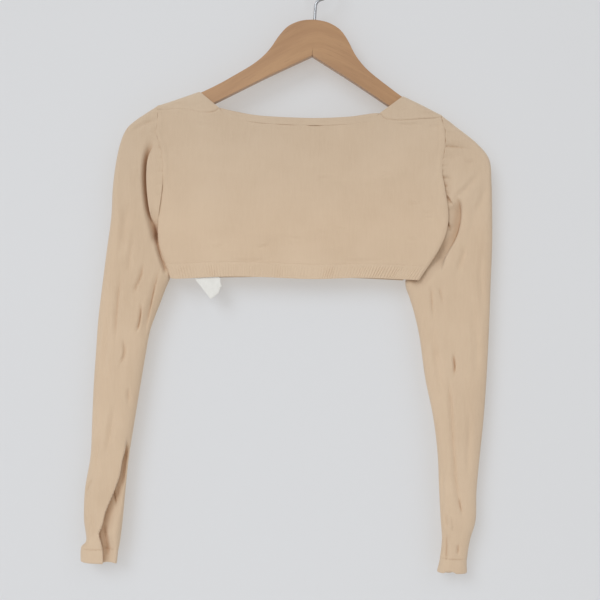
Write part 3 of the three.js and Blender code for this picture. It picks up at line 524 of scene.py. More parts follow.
# The shoulders: a strip of cloth from the near seam over the wood to the far seam.
shoulder = {
    "columns": 44, "rows": 84, "round": 4.5, "roundMost": 0.8, "sideTrim": 0.1, "ridge": 0.3,
    "ridgeWidth": 1.8, "groove": 0.6, "grooveReach": 1.8, "wave": (1, 0.15, 22, 12), "knitLength": 60,
}
leftRidge = [(-184.5, 10.5), (-160, 18.5), (-131, 28.6)]
rightRidge = [(180.5, -1.6), (157, 10.6), (132, 22.8)]
shoulderCreases = creaseRows(nearSide, [
    ([(-176, 9), (-160, 12), (-146, 10)], 0.5, 4, 5, 0.4, 0.4, 0.4),
    ([(-140, 8), (-130, 12), (-124, 18)], 0.4, 4, 4, 0.4, 0.4, 0.3),
    ([(150, -1), (162, 0), (174, -3)], 0.5, 3, 4, 0.4, 0.4, 0.4),
    ([(124, 2), (132, 4), (140, 2)], 0.4, 4, 4, 0.4, 0.4, 0.3),
]) + creaseRows(farSide, [
    ([(-172, 8), (-156, 12), (-140, 9)], 0.5, 4, 5, 0.4, 0.4, 0.4),
    ([(136, 2), (152, 4), (168, -1)], 0.5, 4, 5, 0.4, 0.4, 0.4),
])


def shoulderPiece(name, ridgeRows, outward):
    ridge = smoothLine(ridgeRows)

    def footAt(piece, s):
        start, neckEnd = (1.0, "neckTo") if outward > 0 else (0.0, "neckFrom")
        return piece["top"](mix(start, shareAtAcross(piece["top"], piece[neckEnd]), s))

    def place(u, v):
        s = u if outward < 0 else 1 - u                # from the armhole to the neck
        topX, topZ = ridge(s)
        near = v > 0.5
        footX, footZ = np.where(near, footAt(backPiece, s), footAt(frontPiece, s))
        side = np.where(near, nearSide, farSide)
        height = topZ - footZ - cloth["seamGap"]
        rounding = np.minimum(shoulder["round"], height * shoulder["roundMost"])
        up = 1 - np.abs(v * 2 - 1)                     # 0 at the seams, 1 over the wood
        walk = up * (height - rounding + rounding * math.pi / 2)
        angle = np.clip((walk - height + rounding) / rounding, 0, math.pi / 2)
        rise = np.minimum(walk, height - rounding) + rounding * np.sin(angle)
        x = mix(footX, topX, rise / height)
        z = footZ + cloth["seamGap"] + rise - cloth["wall"] / 2 * np.sin(angle)
        lift = sum(seamRidge(off, shoulder["ridge"], shoulder["ridgeWidth"])
                   for off in (walk, s * ridge.length))
        lift -= shoulder["groove"] * seamLine(footX) * (1 - ease(walk / shoulder["grooveReach"]))
        lift += unevenness(x, z, *shoulder["wave"]) - bySide(near, creaseSum, x, z, shoulderCreases)
        half = (panelHalf(x, footZ) + lift) * np.cos(angle)
        return x - outward * shoulder["sideTrim"] * (1 - s), -side * half, z + lift * np.sin(angle)

    def knit(u, v):
        return u * ridge.length, v * shoulder["knitLength"]

    sheet = clothSheet(name, shoulder["columns"], shoulder["rows"], place, knit, cloth["wall"])
    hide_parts("shoulder_left" if outward < 0 else "shoulder_right")
    return sheet


panels = [bodyPanel(backPiece), bodyPanel(frontPiece)]
ribs = [ribBand(backPiece), ribBand(frontPiece)]
neckbands = [neckBand(backPiece), neckBand(frontPiece)]
shoulders = [shoulderPiece("shoulderLeft", leftRidge, -1), shoulderPiece("shoulderRight", rightRidge, 1)]
print("body made")


# The sleeves: flattened tubes, gathered into the armholes, with turned hems at the cuffs.
sleeve = {
    "around": 206, "along": 196, "crowding": 1.25,           # the rows lie closer at the head
    "armholeGap": 0.22, "seamRidge": 0.35, "ridgeWidth": 1.2,
    "sectionGap": 18,                                        # about how far apart the upper sections lie
    "endRound": 9, "roundMost": 0.4, "edgeEase": 1.2, "slack": 0.3, "deepest": 16,
    # how many sections down the armhole's line and the body's thickness are felt, and where
    # creases, waves and lips are full
    "seamReach": 4.5, "bodyReach": 1.5, "creasesFrom": 0.4, "wavesFrom": 0.5, "lipsFrom": 1.2,
    "waves": [(3, 0.45, 14, 48), (5, 0.15, 7, 16)],          # layer, size, length across and down
    "cuffRows": 28, "cuffHeight": 17,
    # where a cuff's edge arches: middle, reach, rise of the near edge and drop of the far one
    "archedEdge": {"right": (190.5, 8, 2.2, 3.8), "left": (-246, 8, 1, 0)}, "archFrom": 0.375,
}
# outer x, outer z, inner x, inner z, depth front to back, set back at the inner end, end rounding
sectionColumns = ("outerX", "outerZ", "innerX", "innerZ", "depth", "back", "round")
rightSections = readTable(sectionColumns, [
    (180.9, -1.9, 141.5, -195, 14.4, 0, 4.5), (203, -19, 140, -199, 14.6, 1.4, 4.5),
    (226, -37.5, 138, -204, 15.4, 2.2, 4.5), (242, -58, 136, -210, 16, 2.8, 6),
    (245, -88, 135, -217, 16, 3, 9), (246, -126, 136, -225, 16, 3, 12),
    (246, -170, 140, -236, 16.5, 2.6, 16), (244, -224, 146, -256, 17, 2, 20),
    (242, -280, 153, -288, 18, 1.4, 22), (239, -339, 160, -339, 19, 1, 24),
    (235, -394, 170, -388, 20, 0.6, 24), (230, -442, 176, -436, 20, 0.4, 22),
    (226, -486, 178, -484, 20, 0, 20), (225, -522, 180, -522, 19, 0, 19),
    (218, -547, 181.5, -547, 18, 0, 16), (214, -571, 179, -571, 18, 0, 15),
    (214, -590, 175, -588.5, 18, 0, 15),
])
leftSections = readTable(sectionColumns, [
    (-184.9, 10.1, -175, -194, 14.4, 0, 4.5), (-199, 1, -175, -196, 14.6, 0.3, 4.5),
    (-213, -8.5, -172.3, -199, 15.4, 0.6, 4.5), (-224, -19, -170.6, -202.5, 16.4, 0.8, 5.5),
    (-232, -37, -169.2, -207, 17.4, 1, 8), (-238, -64, -169.4, -212, 18, 1.2, 11),
    (-242, -96, -172, -218.5, 18.5, 1.4, 14), (-244, -132, -176, -228, 19, 1.4, 17),
    (-250, -176, -181, -242, 19, 1.2, 20), (-256, -222, -188, -260, 19.5, 1, 22),
    (-261, -264, -195, -281, 20, 0.6, 23), (-264, -306, -201, -314, 20, 0.4, 23),
    (-267, -350, -208, -356, 20, 0, 23), (-269, -396, -215, -399, 20, 0, 22),
    (-271, -440, -221.5, -440, 20.5, 0, 21), (-278, -482, -226, -482, 21, 0, 20),
    (-279.5, -520, -229.5, -520, 21, 0, 19), (-276.5, -548, -233, -549, 20, 0, 18),
    (-283.5, -558.5, -235, -560, 19, 0, 18), (-284, -575, -237, -578, 19, 0, 18),
])

rightCreases = creaseRows(nearSide, [
    # where the sleeve goes in behind the side of the body, and the long valleys
    ([(184, -66), (185, -96), (184, -128), (172, -160), (150, -190), (132, -218)],
     3.2, 15, 40, 0.16, 0.3, 0),
    ([(184, -152), (179, -168), (170, -186), (159, -203), (148, -217), (141, -227)],
     5, 17, 24, 0.3, 0.2, -0.3),
    ([(192, -104), (203, -114), (206, -127), (204, -146), (198, -163), (186, -184), (176, -206)],
     7.2, 4.5, 24, 0.25, 0.22, -0.45, 3.4),
    ([(210, -108), (215, -127), (212, -148), (205, -168)], -1.3, 6, 7, 0.3, 0.4, 0),
    ([(186, -104), (191, -110), (197, -120)], 2.6, 3, 8, 0.2, 0.5, 0.3, 1.5),
    ([(186, -137), (190, -144), (196, -151)], 2.4, 2.2, 4, 0.2, 0.4, 0.3),
    ([(208, -60), (217, -62), (226, -60.5)], 1.2, 2.5, 4, 0.4, 0.5, 0.4),
    ([(192, -112), (212, -96), (233, -70)], 2.1, 7, 10, 0.3, 0.4, 0.3),
    ([(213, -164), (205, -192), (198, -210)], 2.6, 6, 8, 0.35, 0.4, 0.4),
    ([(188.5, -338), (190.3, -356), (192.4, -374), (193.8, -394), (194.5, -415), (196.6, -442),
      (198, -466), (201.3, -491), (205, -508), (208, -517)], 2.7, 4, 8, 0.16, 0.25, 0.4),
    ([(194, -306), (197, -320), (197, -329), (194, -338)], 3.6, 3, 5, 0.35, 0.35, 0.4, 0.8),
    ([(222, -130), (232, -112), (238, -88)], 1.6, 8, 7, 0.3, 0.4, 0),
    # lesser ones down the length
    ([(172, -290), (176, -330), (184, -372)], 1.89, 7, 8, 0.3, 0.4, 0.2),
    ([(183, -448), (182, -486), (181, -530)], 1.9, 3.4, 7, 0.3, 0.3, 0.3),
    ([(186.5, -534), (187.3, -553), (186, -578)], 2.4, 2.6, 4.5, 0.3, 0.3, 0.4),
    ([(185, -510), (188, -532)], 1.74, 4, 4, 0.4, 0.4, 0.6),
    ([(201.5, -550), (200.7, -567)], 2.2, 3, 4.5, 0.35, 0.35, 0.4),
    ([(189, -514), (193, -536)], -1.8, 3, 3, 0.3, 0.3, 0.2),
    ([(201.5, -492), (204, -503), (207, -514)], 2, 2.4, 4, 0.3, 0.3, 0.4),
    ([(221, -250), (225, -300), (222, -352)], 1.89, 8, 10, 0.35, 0.4, 0.1),
    ([(166, -277), (172, -300), (178, -324)], 2, 5, 9, 0.3, 0.4, 0.2),
    ([(167, -218), (168.3, -246), (170, -266)], 1.8, 2.4, 4, 0.3, 0.4, 0.4),
    ([(177, -221), (180, -235), (184, -246)], 1.8, 3, 4, 0.3, 0.4, 0.4),
    ([(216, -372), (214, -430), (212, -478)], 1.59, 6, 7, 0.4, 0.4, 0.2),
    ([(232, -168), (230, -214), (234, -258)], 1.74, 7, 8, 0.4, 0.4, 0.1),
    ([(190, -14), (203, -18), (214, -22)], 1.16, 3, 5, 0.2, 0.6, 0.4),
]) + creaseRows(farSide, [
    ([(190, -60), (206, -110), (200, -190), (176, -260)], 3, 14, 14, 0.25, 0.35, 0),
    ([(205, -250), (196, -350), (205, -470)], 2.2, 9, 9, 0.3, 0.3, 0.2),
    ([(222, -120), (216, -160), (204, -204)], 1.8, 7, 9, 0.35, 0.4, 0.4),
    ([(188, -290), (180, -330), (184, -380)], 1.6, 6, 8, 0.3, 0.4, 0.4),
    ([(222, -230), (226, -290), (222, -340)], 1.3, 8, 8, 0.35, 0.4, 0.1),
    ([(188, -450), (192, -510), (190, -560)], 1.6, 5, 6, 0.3, 0.3, 0.5),
    ([(214, -400), (210, -452), (212, -500)], 1.2, 6, 7, 0.35, 0.4, 0.3),
])
leftCreases = creaseRows(nearSide, [
    # the deep valley beside the armhole, and the layer turned over above the cuff
    ([(-187, -24), (-191.5, -40), (-195.6, -56), (-197.2, -76), (-196.8, -95), (-195.2, -112),
      (-192.6, -128), (-189, -143), (-185.8, -157), (-183.6, -171)], 9.2, 5, 9.5, 0.3, 0.1, -0.45, 5),
    ([(-185.4, -118), (-185.6, -134), (-185.2, -150), (-184.4, -161), (-182.8, -172), (-178.4, -187),
      (-173.6, -200), (-170.6, -210)], 6, 4, 6, 0.3, 0.14, -0.2),
    ([(-179, -192), (-188, -226), (-196, -262), (-203, -300)], 3.4, 4, 8, 0.3, 0.4, 0.5, 1.5),
    ([(-220, -414), (-230, -441), (-234, -463), (-241, -484), (-252, -511), (-256, -527),
      (-260.5, -540), (-258, -549), (-255.6, -562), (-255.6, -582)], 8.4, 25, 3.2, 0.14, 0, -0.5, -4.6),
    ([(-242, -484), (-239.5, -492), (-237, -502)], 2.8, 2.2, 4, 0.3, 0.4, 0.2, 1.2),
    ([(-233, -470), (-231, -486), (-232, -504)], -1.6, 6, 6, 0.3, 0.4, 0),
    ([(-256, -526), (-253, -540), (-251, -556), (-251, -570)], 3, 7, 5, 0.3, 0.3, 0),
    ([(-201, -190), (-204.5, -208), (-211, -223), (-215.5, -235)], 2.8, 3.4, 6, 0.3, 0.3, 0.4),
    ([(-229, -198), (-233, -229), (-235, -249), (-236.5, -267), (-237, -287), (-235.5, -300)],
     2.6, 3.4, 7, 0.35, 0.3, 0.4),
    ([(-229, -288), (-225.8, -303), (-228, -315), (-234.5, -324)], 2.8, 6, 3.6, 0.3, 0.3, 0.3),
    ([(-257, -264), (-258, -286), (-260.5, -304)], 2, 4, 5, 0.35, 0.35, 0.4),
    # lesser ones down the length
    ([(-204.5, -240), (-205, -257), (-207.7, -272), (-211.5, -282)], 3.2, 3.2, 4.5, 0.35, 0.25, 0.4, 0.8),
    ([(-221, -351), (-221, -363), (-219, -374)], 2.6, 3.4, 5, 0.35, 0.35, 0.4),
    ([(-261, -386), (-262, -402)], 1.3, 3, 4, 0.4, 0.4, 0.4),
    ([(-264, -466), (-272, -480), (-279, -494)], 2.75, 3.4, 5, 0.3, 0.3, 0.3),
    ([(-222, -110), (-226, -150), (-232, -190)], 2.17, 8, 9, 0.35, 0.4, 0.1),
    ([(-212, -150), (-218, -180), (-222, -212)], 1.89, 5, 7, 0.4, 0.4, 0.3),
    ([(-246, -250), (-250, -300), (-253, -350)], 2.03, 6, 8, 0.35, 0.4, 0.2),
    ([(-238, -370), (-244, -410), (-252, -450)], 2.17, 6, 8, 0.35, 0.4, 0.3),
    ([(-258, -400), (-260, -440), (-264, -470)], 1.59, 5, 6, 0.4, 0.4, 0.3),
    ([(-266, -500), (-266, -530), (-270, -552)], 1.74, 4, 5, 0.4, 0.3, 0.4),
    ([(-188, -11.5), (-199, -13.5), (-211, -20.5), (-219, -30)], 1.7, 3.4, 5, 0.2, 0.5, 0.4),
]) + creaseRows(farSide, [
    ([(-190, -40), (-206, -100), (-204, -180), (-212, -270)], 3.4, 13, 13, 0.2, 0.35, 0),
    ([(-236, -290), (-242, -380), (-236, -480)], 2.4, 9, 9, 0.3, 0.3, 0.2),
    ([(-224, -90), (-230, -150), (-226, -210)], 1.8, 7, 9, 0.35, 0.4, 0.3),
    ([(-200, -240), (-206, -290), (-212, -340)], 1.7, 5, 7, 0.3, 0.4, 0.5),
    ([(-252, -240), (-256, -300), (-254, -360)], 1.3, 7, 8, 0.35, 0.4, 0.1),
    ([(-224, -380), (-232, -440), (-240, -500)], 1.7, 5, 7, 0.3, 0.4, 0.4),
    ([(-262, -430), (-262, -490), (-266, -540)], 1.3, 5, 6, 0.35, 0.3, 0.4),
])

# Gathers where a head is eased into its armhole, on both sides. Each starts inside the seam.
gather = {"inside": 2, "midRise": 0.35, "fadeOut": 0.7, "sharp": 0.2}
gatherColumns = ("height", "reach", "rise", "depth", "width")
gathers = {
    "right": readTable(gatherColumns, [
        (-9, 22, -9, -1.2, 5.5), (-22, 18, -3, -1, 5.5), (-35, 34, -4, -1.5, 5), (-42, 40, -6, 2, 2.6),
        (-50, 30, 1, -1.1, 5), (-57, 20, -1, 0.9, 2.4), (-67, 12, 2, 1.4, 3.4), (-74, 9, 1, 1.1, 2.4),
        (-82, 18, -3, 1.7, 3.2), (-92, 10, -5, 1.4, 2.8), (-99, 14, -8, 1.1, 2.8),
    ]),
    "left": readTable(gatherColumns, [
        (-2, 22, -6, -0.8, 5.5), (-9, 22, -6, 0.7, 2.4), (-16, 12, -5, -0.6, 5.5), (-24, 13, -3, 0.5, 2.4),
        (-31, 9, -2, -0.9, 5), (-38, 9, 0, 0.7, 2.4), (-44, 11, 1, 1.1, 4), (-58, 9, 2, 1, 4),
        (-66, 8, 1, 0.6, 2.6), (-74, 12, -2, 1.1, 4), (-90, 10, -4, 0.8, 3), (-104, 9, -5, 0.7, 3),
    ]),
}


def gatherCreases(table, armhole, outward):
    seamX, seamZ = armhole(np.linspace(0, 1, 200))
    rows = []
    for g in table:
        x = float(np.interp(g["height"], seamZ[::-1], seamX[::-1]))
        steps = [(-gather["inside"], 0), (g["reach"] / 2, gather["midRise"]), (g["reach"], 1)]
        path = [(x + outward * out, g["height"] + g["rise"] * up) for out, up in steps]
        rows.append((path, g["depth"], g["width"], g["width"], 0, gather["fadeOut"], gather["sharp"]))
    return creaseRows(nearSide, rows) + creaseRows(farSide, rows)


def makeSleeve(name, sections, edgeRows, outward, creases):
    # the armhole seam is the body's edge, moved off by the gap
    top = (sections[0]["outerX"], sections[0]["outerZ"])
    underarm = (sections[0]["innerX"], sections[0]["innerZ"])
    off = outward * sleeve["armholeGap"]
    armhole = smoothLine([top] + [(x + off, z) for x, z in edgeRows[:-2]] + [underarm])
    return {
        "name": name, "outward": outward, "last": len(sections) - 1, "top": top, "underarm": underarm,
        "armhole": armhole, "columns": {key: column(sections, key) for key in sectionColumns},
        "creases": creases + gatherCreases(gathers[name], armhole, outward),
    }


def sectionAt(one, place):
    # the section at a place down the sleeve, and its length from the outer end to the inner one
    read = {key: tableAt(values, place) for key, values in one["columns"].items()}
    return read, np.hypot(read["outerX"] - read["innerX"], read["outerZ"] - read["innerZ"])


def ringPoint(length, depth, rounding, turn):
    # how far from the outer end a turn of the flattened ring lies, and its bulge, 0 to 1
    share = np.where(turn < 0.5, turn * 2, 2 - turn * 2)
    outerRound = np.minimum(rounding, length * sleeve["roundMost"])
    innerRound = np.minimum(np.maximum(rounding, sleeve["endRound"]), length * sleeve["roundMost"])
    outerArc, innerArc = (math.pi / 4 * (r + depth / 2) for r in (outerRound, innerRound))
    flat = length - outerRound - innerRound
    whole = outerArc + innerArc + flat
    walked = share * whole
    atOuter = math.pi / 2 * np.clip(walked / outerArc, 0, 1)
    atInner = math.pi / 2 * np.clip((whole - walked) / innerArc, 0, 1)
    onFlat = np.clip(walked - outerArc, 0, flat)
    distance = outerRound * (1 - np.cos(atOuter)) + onFlat + innerRound * np.cos(atInner)
    return distance, np.minimum(np.sin(atOuter), np.sin(atInner))


def sleevePoint(one, place, turn, lift=0):
    # a point of the sleeve's middle wall; place runs down the sections, turn goes round from the
    # outer edge over the near side to the inner edge, and back on the far side
    read, length = sectionAt(one, place)
    distance, bulge = ringPoint(length - cloth["wall"], read["depth"], read["round"], turn)
    down = (distance + cloth["wall"] / 2) / length
    bow = 1 - ease(place / sleeve["seamReach"])
    seamX, seamZ = one["armhole"](down)
    (topX, topZ), (underX, underZ) = one["top"], one["underarm"]
    x = mix(read["outerX"], read["innerX"], down) + bow * (seamX - mix(topX, underX, down))
    z = mix(read["outerZ"], read["innerZ"], down) + bow * (seamZ - mix(topZ, underZ, down))
    near = turn < 0.5
    inside = ease(bulge * sleeve["edgeEase"])
    # the creases stay shallow at the armhole, where the seam holds the cloth
    deepest = mix(cloth["wall"], sleeve["deepest"], ease(place / sleeve["creasesFrom"]))
    folded = np.minimum(bySide(near, creaseSum, x, z, one["creases"]), deepest)
    thickness = mix(panelHalf(x, z) / cloth["bodyHalf"], 1, ease(place / sleeve["bodyReach"]))
    uneven = sum(unevenness(x, z, *wave) for wave in sleeve["waves"]) * ease(place / sleeve["wavesFrom"])
    out = (read["depth"] / 2 * thickness + lift + uneven) * bulge - folded * inside
    held = ease(place / sleeve["lipsFrom"]) * inside
    shiftX, shiftZ = held * bySide(near, creaseLean, x, z, one["creases"])
    return x + shiftX, read["back"] * down - np.where(near, 1, -1) * out, z + shiftZ


def aroundSleeve(one, u):
    # the grid starts and ends at the underarm seam
    return np.mod(0.5 + (1 - u if one["outward"] > 0 else u), 1)


def sleeveKnit(one, u, place):
    read, length = sectionAt(one, place)
    around = 2 * (length + read["depth"] * sleeve["slack"])
    return (u - 0.5) * around, -(read["outerZ"] + read["innerZ"]) / 2


def sleeveTube(one):
    def down(v):
        # the sections lie closer together at the head, and so do the rows of the grid
        return (one["last"] - 1) * v ** sleeve["crowding"]

    def place(u, v):
        ridge = seamRidge(down(v) * sleeve["sectionGap"], sleeve["seamRidge"], sleeve["ridgeWidth"])
        return sleevePoint(one, down(v), aroundSleeve(one, u), ridge)

    def knit(u, v):
        return sleeveKnit(one, u, down(v))

    name = f"sleeve{one['name'].title()}"
    sheet = clothSheet(name, sleeve["around"], sleeve["along"], place, knit, cloth["wall"], closed=True)
    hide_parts(f"sleeve_{one['name']}")
    return sheet


def cuffHem(one):
    # down the outside, round the turned edge and up the inside
    end = one["last"]

    def place(u, v):
        down = 1 - np.abs(v * 2 - 1)
        lift = turnedEdge["out"] - np.sign(v - 0.5) * layersApart((1 - down) * sleeve["cuffHeight"])
        x, y, z = sleevePoint(one, end - 1 + down, aroundSleeve(one, u), lift)
        middle, reach, rise, drop = sleeve["archedEdge"][one["name"]]
        arch = 1 - np.clip(np.abs(x - middle) / reach, 0, 1) ** 3
        arch *= ease((down - sleeve["archFrom"]) / (1 - sleeve["archFrom"]))
        return x, y, z + np.where(y < 0, rise, -drop) * arch

    def knit(u, v):
        return sleeveKnit(one, u, end - 1 + v)

    name, around, rows = f"cuff{one['name'].title()}", sleeve["around"], sleeve["cuffRows"]
    sheet = clothSheet(name, around, rows, place, knit, turnedEdge["layer"], closed=True)
    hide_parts(f"cuff_{one['name']}")
    return sheet


rightSleeve = makeSleeve("right", rightSections, frontRightEdge, 1, rightCreases)
leftSleeve = makeSleeve("left", leftSections, leftEdge, -1, leftCreases)
sleeves = [sleeveTube(leftSleeve), sleeveTube(rightSleeve)]
cuffs = [cuffHem(leftSleeve), cuffHem(rightSleeve)]
print("sleeves made")


# The care label: a bare white tape, doubled, with its lower corner turned up.
label = {
    "width": 26, "drop": 40, "lean": 38, "top": -206.8, "near": -4.98, "far": -4.42, "wall": 0.3,
    "bent": 4.5, "bentOver": 16,           # how far the lower corner is bent in, and over what length
    "swing": 1.6, "swingOver": 30,         # how far the far layer slips out
    "foldHeight": 1.2, "columns": 26, "rows": 84,
}


def careLabel():
    lean = math.radians(label["lean"])
    acrossX, acrossZ, downX, downZ = math.cos(lean), math.sin(lean), math.sin(lean), -math.cos(lean)

    def place(u, v):
        onNear = v < 0.5
        down = label["drop"] * (1 - np.abs(v * 2 - 1))
        across = label["width"] * u
        swing = np.where(onNear, 0.0, label["swing"]) * ease(down / label["swingOver"]) * (1 - u)
        # the corner at the right is bent over, so it looks round
        fromSide, fromEnd = label["width"] - across, label["drop"] - down
        bent = label["bent"] * ease(1 - fromSide / label["bentOver"])
        bent *= ease(1 - fromEnd / label["bentOver"])
        across, down = across + swing - bent, down - bent
        x = cloth["labelLeft"] + acrossX * across + downX * down
        z = label["top"] + acrossZ * across + downZ * down
        fold = ease((label["drop"] - down) / label["foldHeight"])
        middle = (label["near"] + label["far"]) / 2
        y = mix(middle, np.where(onNear, label["near"], label["far"]), fold)
        return x, y, z

    def knit(u, v):
        return u * label["width"], v * label["drop"] * 2

    sheet = clothSheet("careLabel", label["columns"], label["rows"], place, knit, label["wall"])
    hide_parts("care_label")
    return sheet


labelPiece = careLabel()


# Sewing: one small stitch is modelled, then laid again and again along each seam.
stitch = {
    "length": 2.3, "thick": 0.42, "gap": 0.7,
    "neckBelow": 0.55, "neckOut": 0.25,        # below the neckband's edge, and off the cloth's middle
    "cuffDown": 0.03, "cuffOut": 1.25,         # the same at a cuff, the first as a share of its height
}


def stitchRow(name, route, lengthMm, out):
    # route gives x, y, z in garment millimetres at a share of the seam
    deselectAll()
    bpy.ops.mesh.primitive_uv_sphere_add(segments=8, ring_count=5, radius=0.5)
    row = named(name)
    one = np.array([v.co for v in row.data.vertices])
    faces = [list(p.vertices) for p in row.data.polygons]
    count = int(lengthMm / (stitch["length"] + stitch["gap"]))
    spots, polygons = [], []
    for i in range(count):
        ends = [np.array(route(np.array([(i + 0.5 + d) / count])), float).ravel() for d in (-0.3, 0.3)]
        along = (ends[1] - ends[0]) / np.linalg.norm(ends[1] - ends[0])
        side = np.cross(along, out)
        side /= np.linalg.norm(side)
        up = np.cross(side, along)
        axes = np.array([along * stitch["length"], side * stitch["thick"], up * stitch["thick"]])
        polygons += [[v + len(spots) * len(one) for v in face] for face in faces]
        spots.append(one @ axes + (ends[0] + ends[1]) / 2)
    spots = np.vstack(spots) * mm + np.array([garmentX, 0, garmentZ])
    row.data.clear_geometry()
    row.data.from_pydata(spots.tolist(), [], polygons)
    row.data.update()
    takeUp(row)
    bpy.ops.object.shade_smooth()
    return row


def neckStitches(piece):
    start = shareAtAcross(piece["top"], piece["neckFrom"] + body["neckTaper"])
    end = shareAtAcross(piece["top"], piece["neckTo"] - body["neckTaper"])

    def route(share):
        u = mix(start, end, share)
        down = neckShare(piece, u) + stitch["neckBelow"] / pieceHeight(piece, u)
        return onBody(piece, u, down, stitch["neckOut"])

    length = (end - start) * piece["top"].length
    return stitchRow(f"{piece['name']}NeckStitches", route, length, np.array([0.0, -piece["side"], 0.0]))


def cuffStitches(one):
    seam = one["last"] - 1

    def route(share):
        place = np.full(share.shape, seam + stitch["cuffDown"])
        return sleevePoint(one, place, np.mod(share, 1), stitch["cuffOut"])

    around = 2 * sectionAt(one, seam)[1]
    return stitchRow(f"cuff{one['name'].title()}Stitches", route, around, np.array([0.0, -1.0, 0.05]))


neckSewing = [neckStitches(backPiece), neckStitches(frontPiece)]
cuffSewing = [cuffStitches(leftSleeve), cuffStitches(rightSleeve)]
print("label and sewing made")


# The hanger: two flat arms jointed in the middle, and a wire hook whose inner crown is the origin.
hook = {"radius": 22, "wire": 3.8, "fillet": 10, "stem": 21, "clear": 0.3, "tipTurn": 205}
wood = {
    "columns": 110, "rows": 6, "thickness": 12, "edge": 2.6, "crotch": 46, "roll": 3.8,
    "belly": 0.25, "bellyEnd": 1.02,                               # how the lower edge bows
    "crack": 0.22, "crackLength": 12, "crackReach": 1 / 40,        # the mitre opens a little at its foot
    "raise": 3, "raiseFrom": 40, "raiseTo": 150,                   # the middle stands higher
}
armTop = [(0, 0), (17, -2.5), (33, -10.5), (44, -23.5), (54, -40), (64, -52), (77, -63), (100, -77.8),
          (122, -91), (160, -110.8), (195, -127.4), (207, -135.4), (216, -146), (216.5, -155), (209, -160)]
hookRise = math.sqrt(hook["radius"] ** 2 + 2 * hook["radius"] * hook["fillet"])
woodTop = -hookRise - hook["stem"] - hook["clear"]
tilt = Matrix.Rotation(math.radians(wood["roll"]), 4, "Y")
hangerPlace = Matrix.Translation((0, 0, -(hook["radius"] - hook["wire"] / 2) * mm)) @ tilt


def hangerArm(side):
    name = "armLeft" if side < 0 else "armRight"
    arm, u, v = newGrid(name, wood["columns"], wood["rows"])
    along, up = u if side > 0 else 1 - u, 1 - v
    topX, topZ = smoothLine(armTop)(along)
    tipX, tipZ = armTop[-1]
    under = mix(along, ease(along * wood["bellyEnd"]), wood["belly"])
    lowX, lowZ = tipX * under, mix(-wood["crotch"], tipZ, under)
    x, z = mix(lowX, topX, up), mix(lowZ, topZ, up)
    fallen = ease((x - wood["raiseFrom"]) / (wood["raiseTo"] - wood["raiseFrom"]))
    crack = wood["crack"] * (1 - ease((z + wood["crotch"]) / wood["crackLength"]))
    x += crack * (1 - ease(along / wood["crackReach"]))
    height = z + woodTop + wood["raise"] * (1 - fallen)
    moveVertices(arm, side * x * mm, -wood["thickness"] / 2 * mm, height * mm)
    mergeClose(arm, 0.05)
    bpy.ops.object.mode_set(mode="EDIT")
    bpy.ops.mesh.select_all(action="SELECT")
    bpy.ops.mesh.extrude_region_move(TRANSFORM_OT_translate={"value": (0, wood["thickness"] * mm, 0)})
    bpy.ops.mesh.select_all(action="SELECT")
    bpy.ops.mesh.normals_make_consistent(inside=False)
    bpy.ops.mesh.select_all(action="DESELECT")
    bpy.ops.object.mode_set(mode="OBJECT")
    # the crack between the arms closes towards the far side
    half = wood["thickness"] / 2 * mm
    for vertex in arm.data.vertices:
        if vertex.co.y > 0 and abs(vertex.co.x) < 1.1 * wood["crack"] * mm:
            vertex.co.x = 0
    # the outline is rounded, but not where the arms meet
    beside = {}
    for face in arm.data.polygons:
        for key in face.edge_keys:
            beside.setdefault(key, []).append(abs(face.normal.y) > 0.9)
    for edge in arm.data.edges:
        ends = [arm.data.vertices[i].co for i in edge.vertices]
        onFace = all(abs(abs(end.y) - half) < 1e-6 for end in ends)
        offMitre = max(abs(end.x) for end in ends) > 1.2 * mm
        edge.select = beside[edge.key].count(True) == 1 and onFace and offMitre
    bpy.ops.object.mode_set(mode="EDIT")
    bpy.ops.mesh.select_mode(type="EDGE")
    bpy.ops.mesh.bevel(offset=wood["edge"] * mm, segments=5, profile=0.5, affect="EDGES",
                       clamp_overlap=True)
    bpy.ops.object.mode_set(mode="OBJECT")
    arm.data.transform(hangerPlace)
    shadeSmooth(arm, 40)
    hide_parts(f"hanger_arm_{'left' if side < 0 else 'right'}")
    return arm


def hookWire():
    bend = math.acos(1 - hook["radius"] / (hook["radius"] + hook["fillet"]))
    start = -math.atan2(hookRise, hook["fillet"])
    stem = hook["stem"] - wood["raise"]
    points = [(0, -hookRise - stem + stem * i / 6) for i in range(6)]
    points += [(hook["fillet"] * (1 - math.cos(a)), -hookRise + hook["fillet"] * math.sin(a))
               for a in np.linspace(0, bend, 12)]
    turn = np.linspace(start, math.radians(hook["tipTurn"]), 110)[1:]
    points += [(hook["radius"] * math.cos(a), hook["radius"] * math.sin(a)) for a in turn]
    deselectAll()
    bpy.ops.curve.primitive_nurbs_path_add()
    wire = named("hookWire")
    wire.data.splines.clear()
    line = wire.data.splines.new("POLY")
    line.points.add(len(points) - 1)
    for point, (x, z) in zip(line.points, points):
        point.co = (x * mm, 0, z * mm, 1)
    # the cut tip is rounded off
    for step, shrink in ((-1, 0.45), (-2, 0.85)):
        line.points[step].radius = shrink
    wire.data.bevel_depth, wire.data.bevel_resolution = hook["wire"] / 2 * mm, 5
    wire.data.use_fill_caps = True
    bpy.ops.object.convert(target="MESH")
    wire = bpy.context.object
    wire.data.transform(hangerPlace)
    shadeSmooth(wire, 50)
    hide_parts("hanger_hook")
    return wire


arms = [hangerArm(-1), hangerArm(1)]
wirePiece = hookWire()
print("hanger made")


# Finishes. Effects that several materials use are node groups.


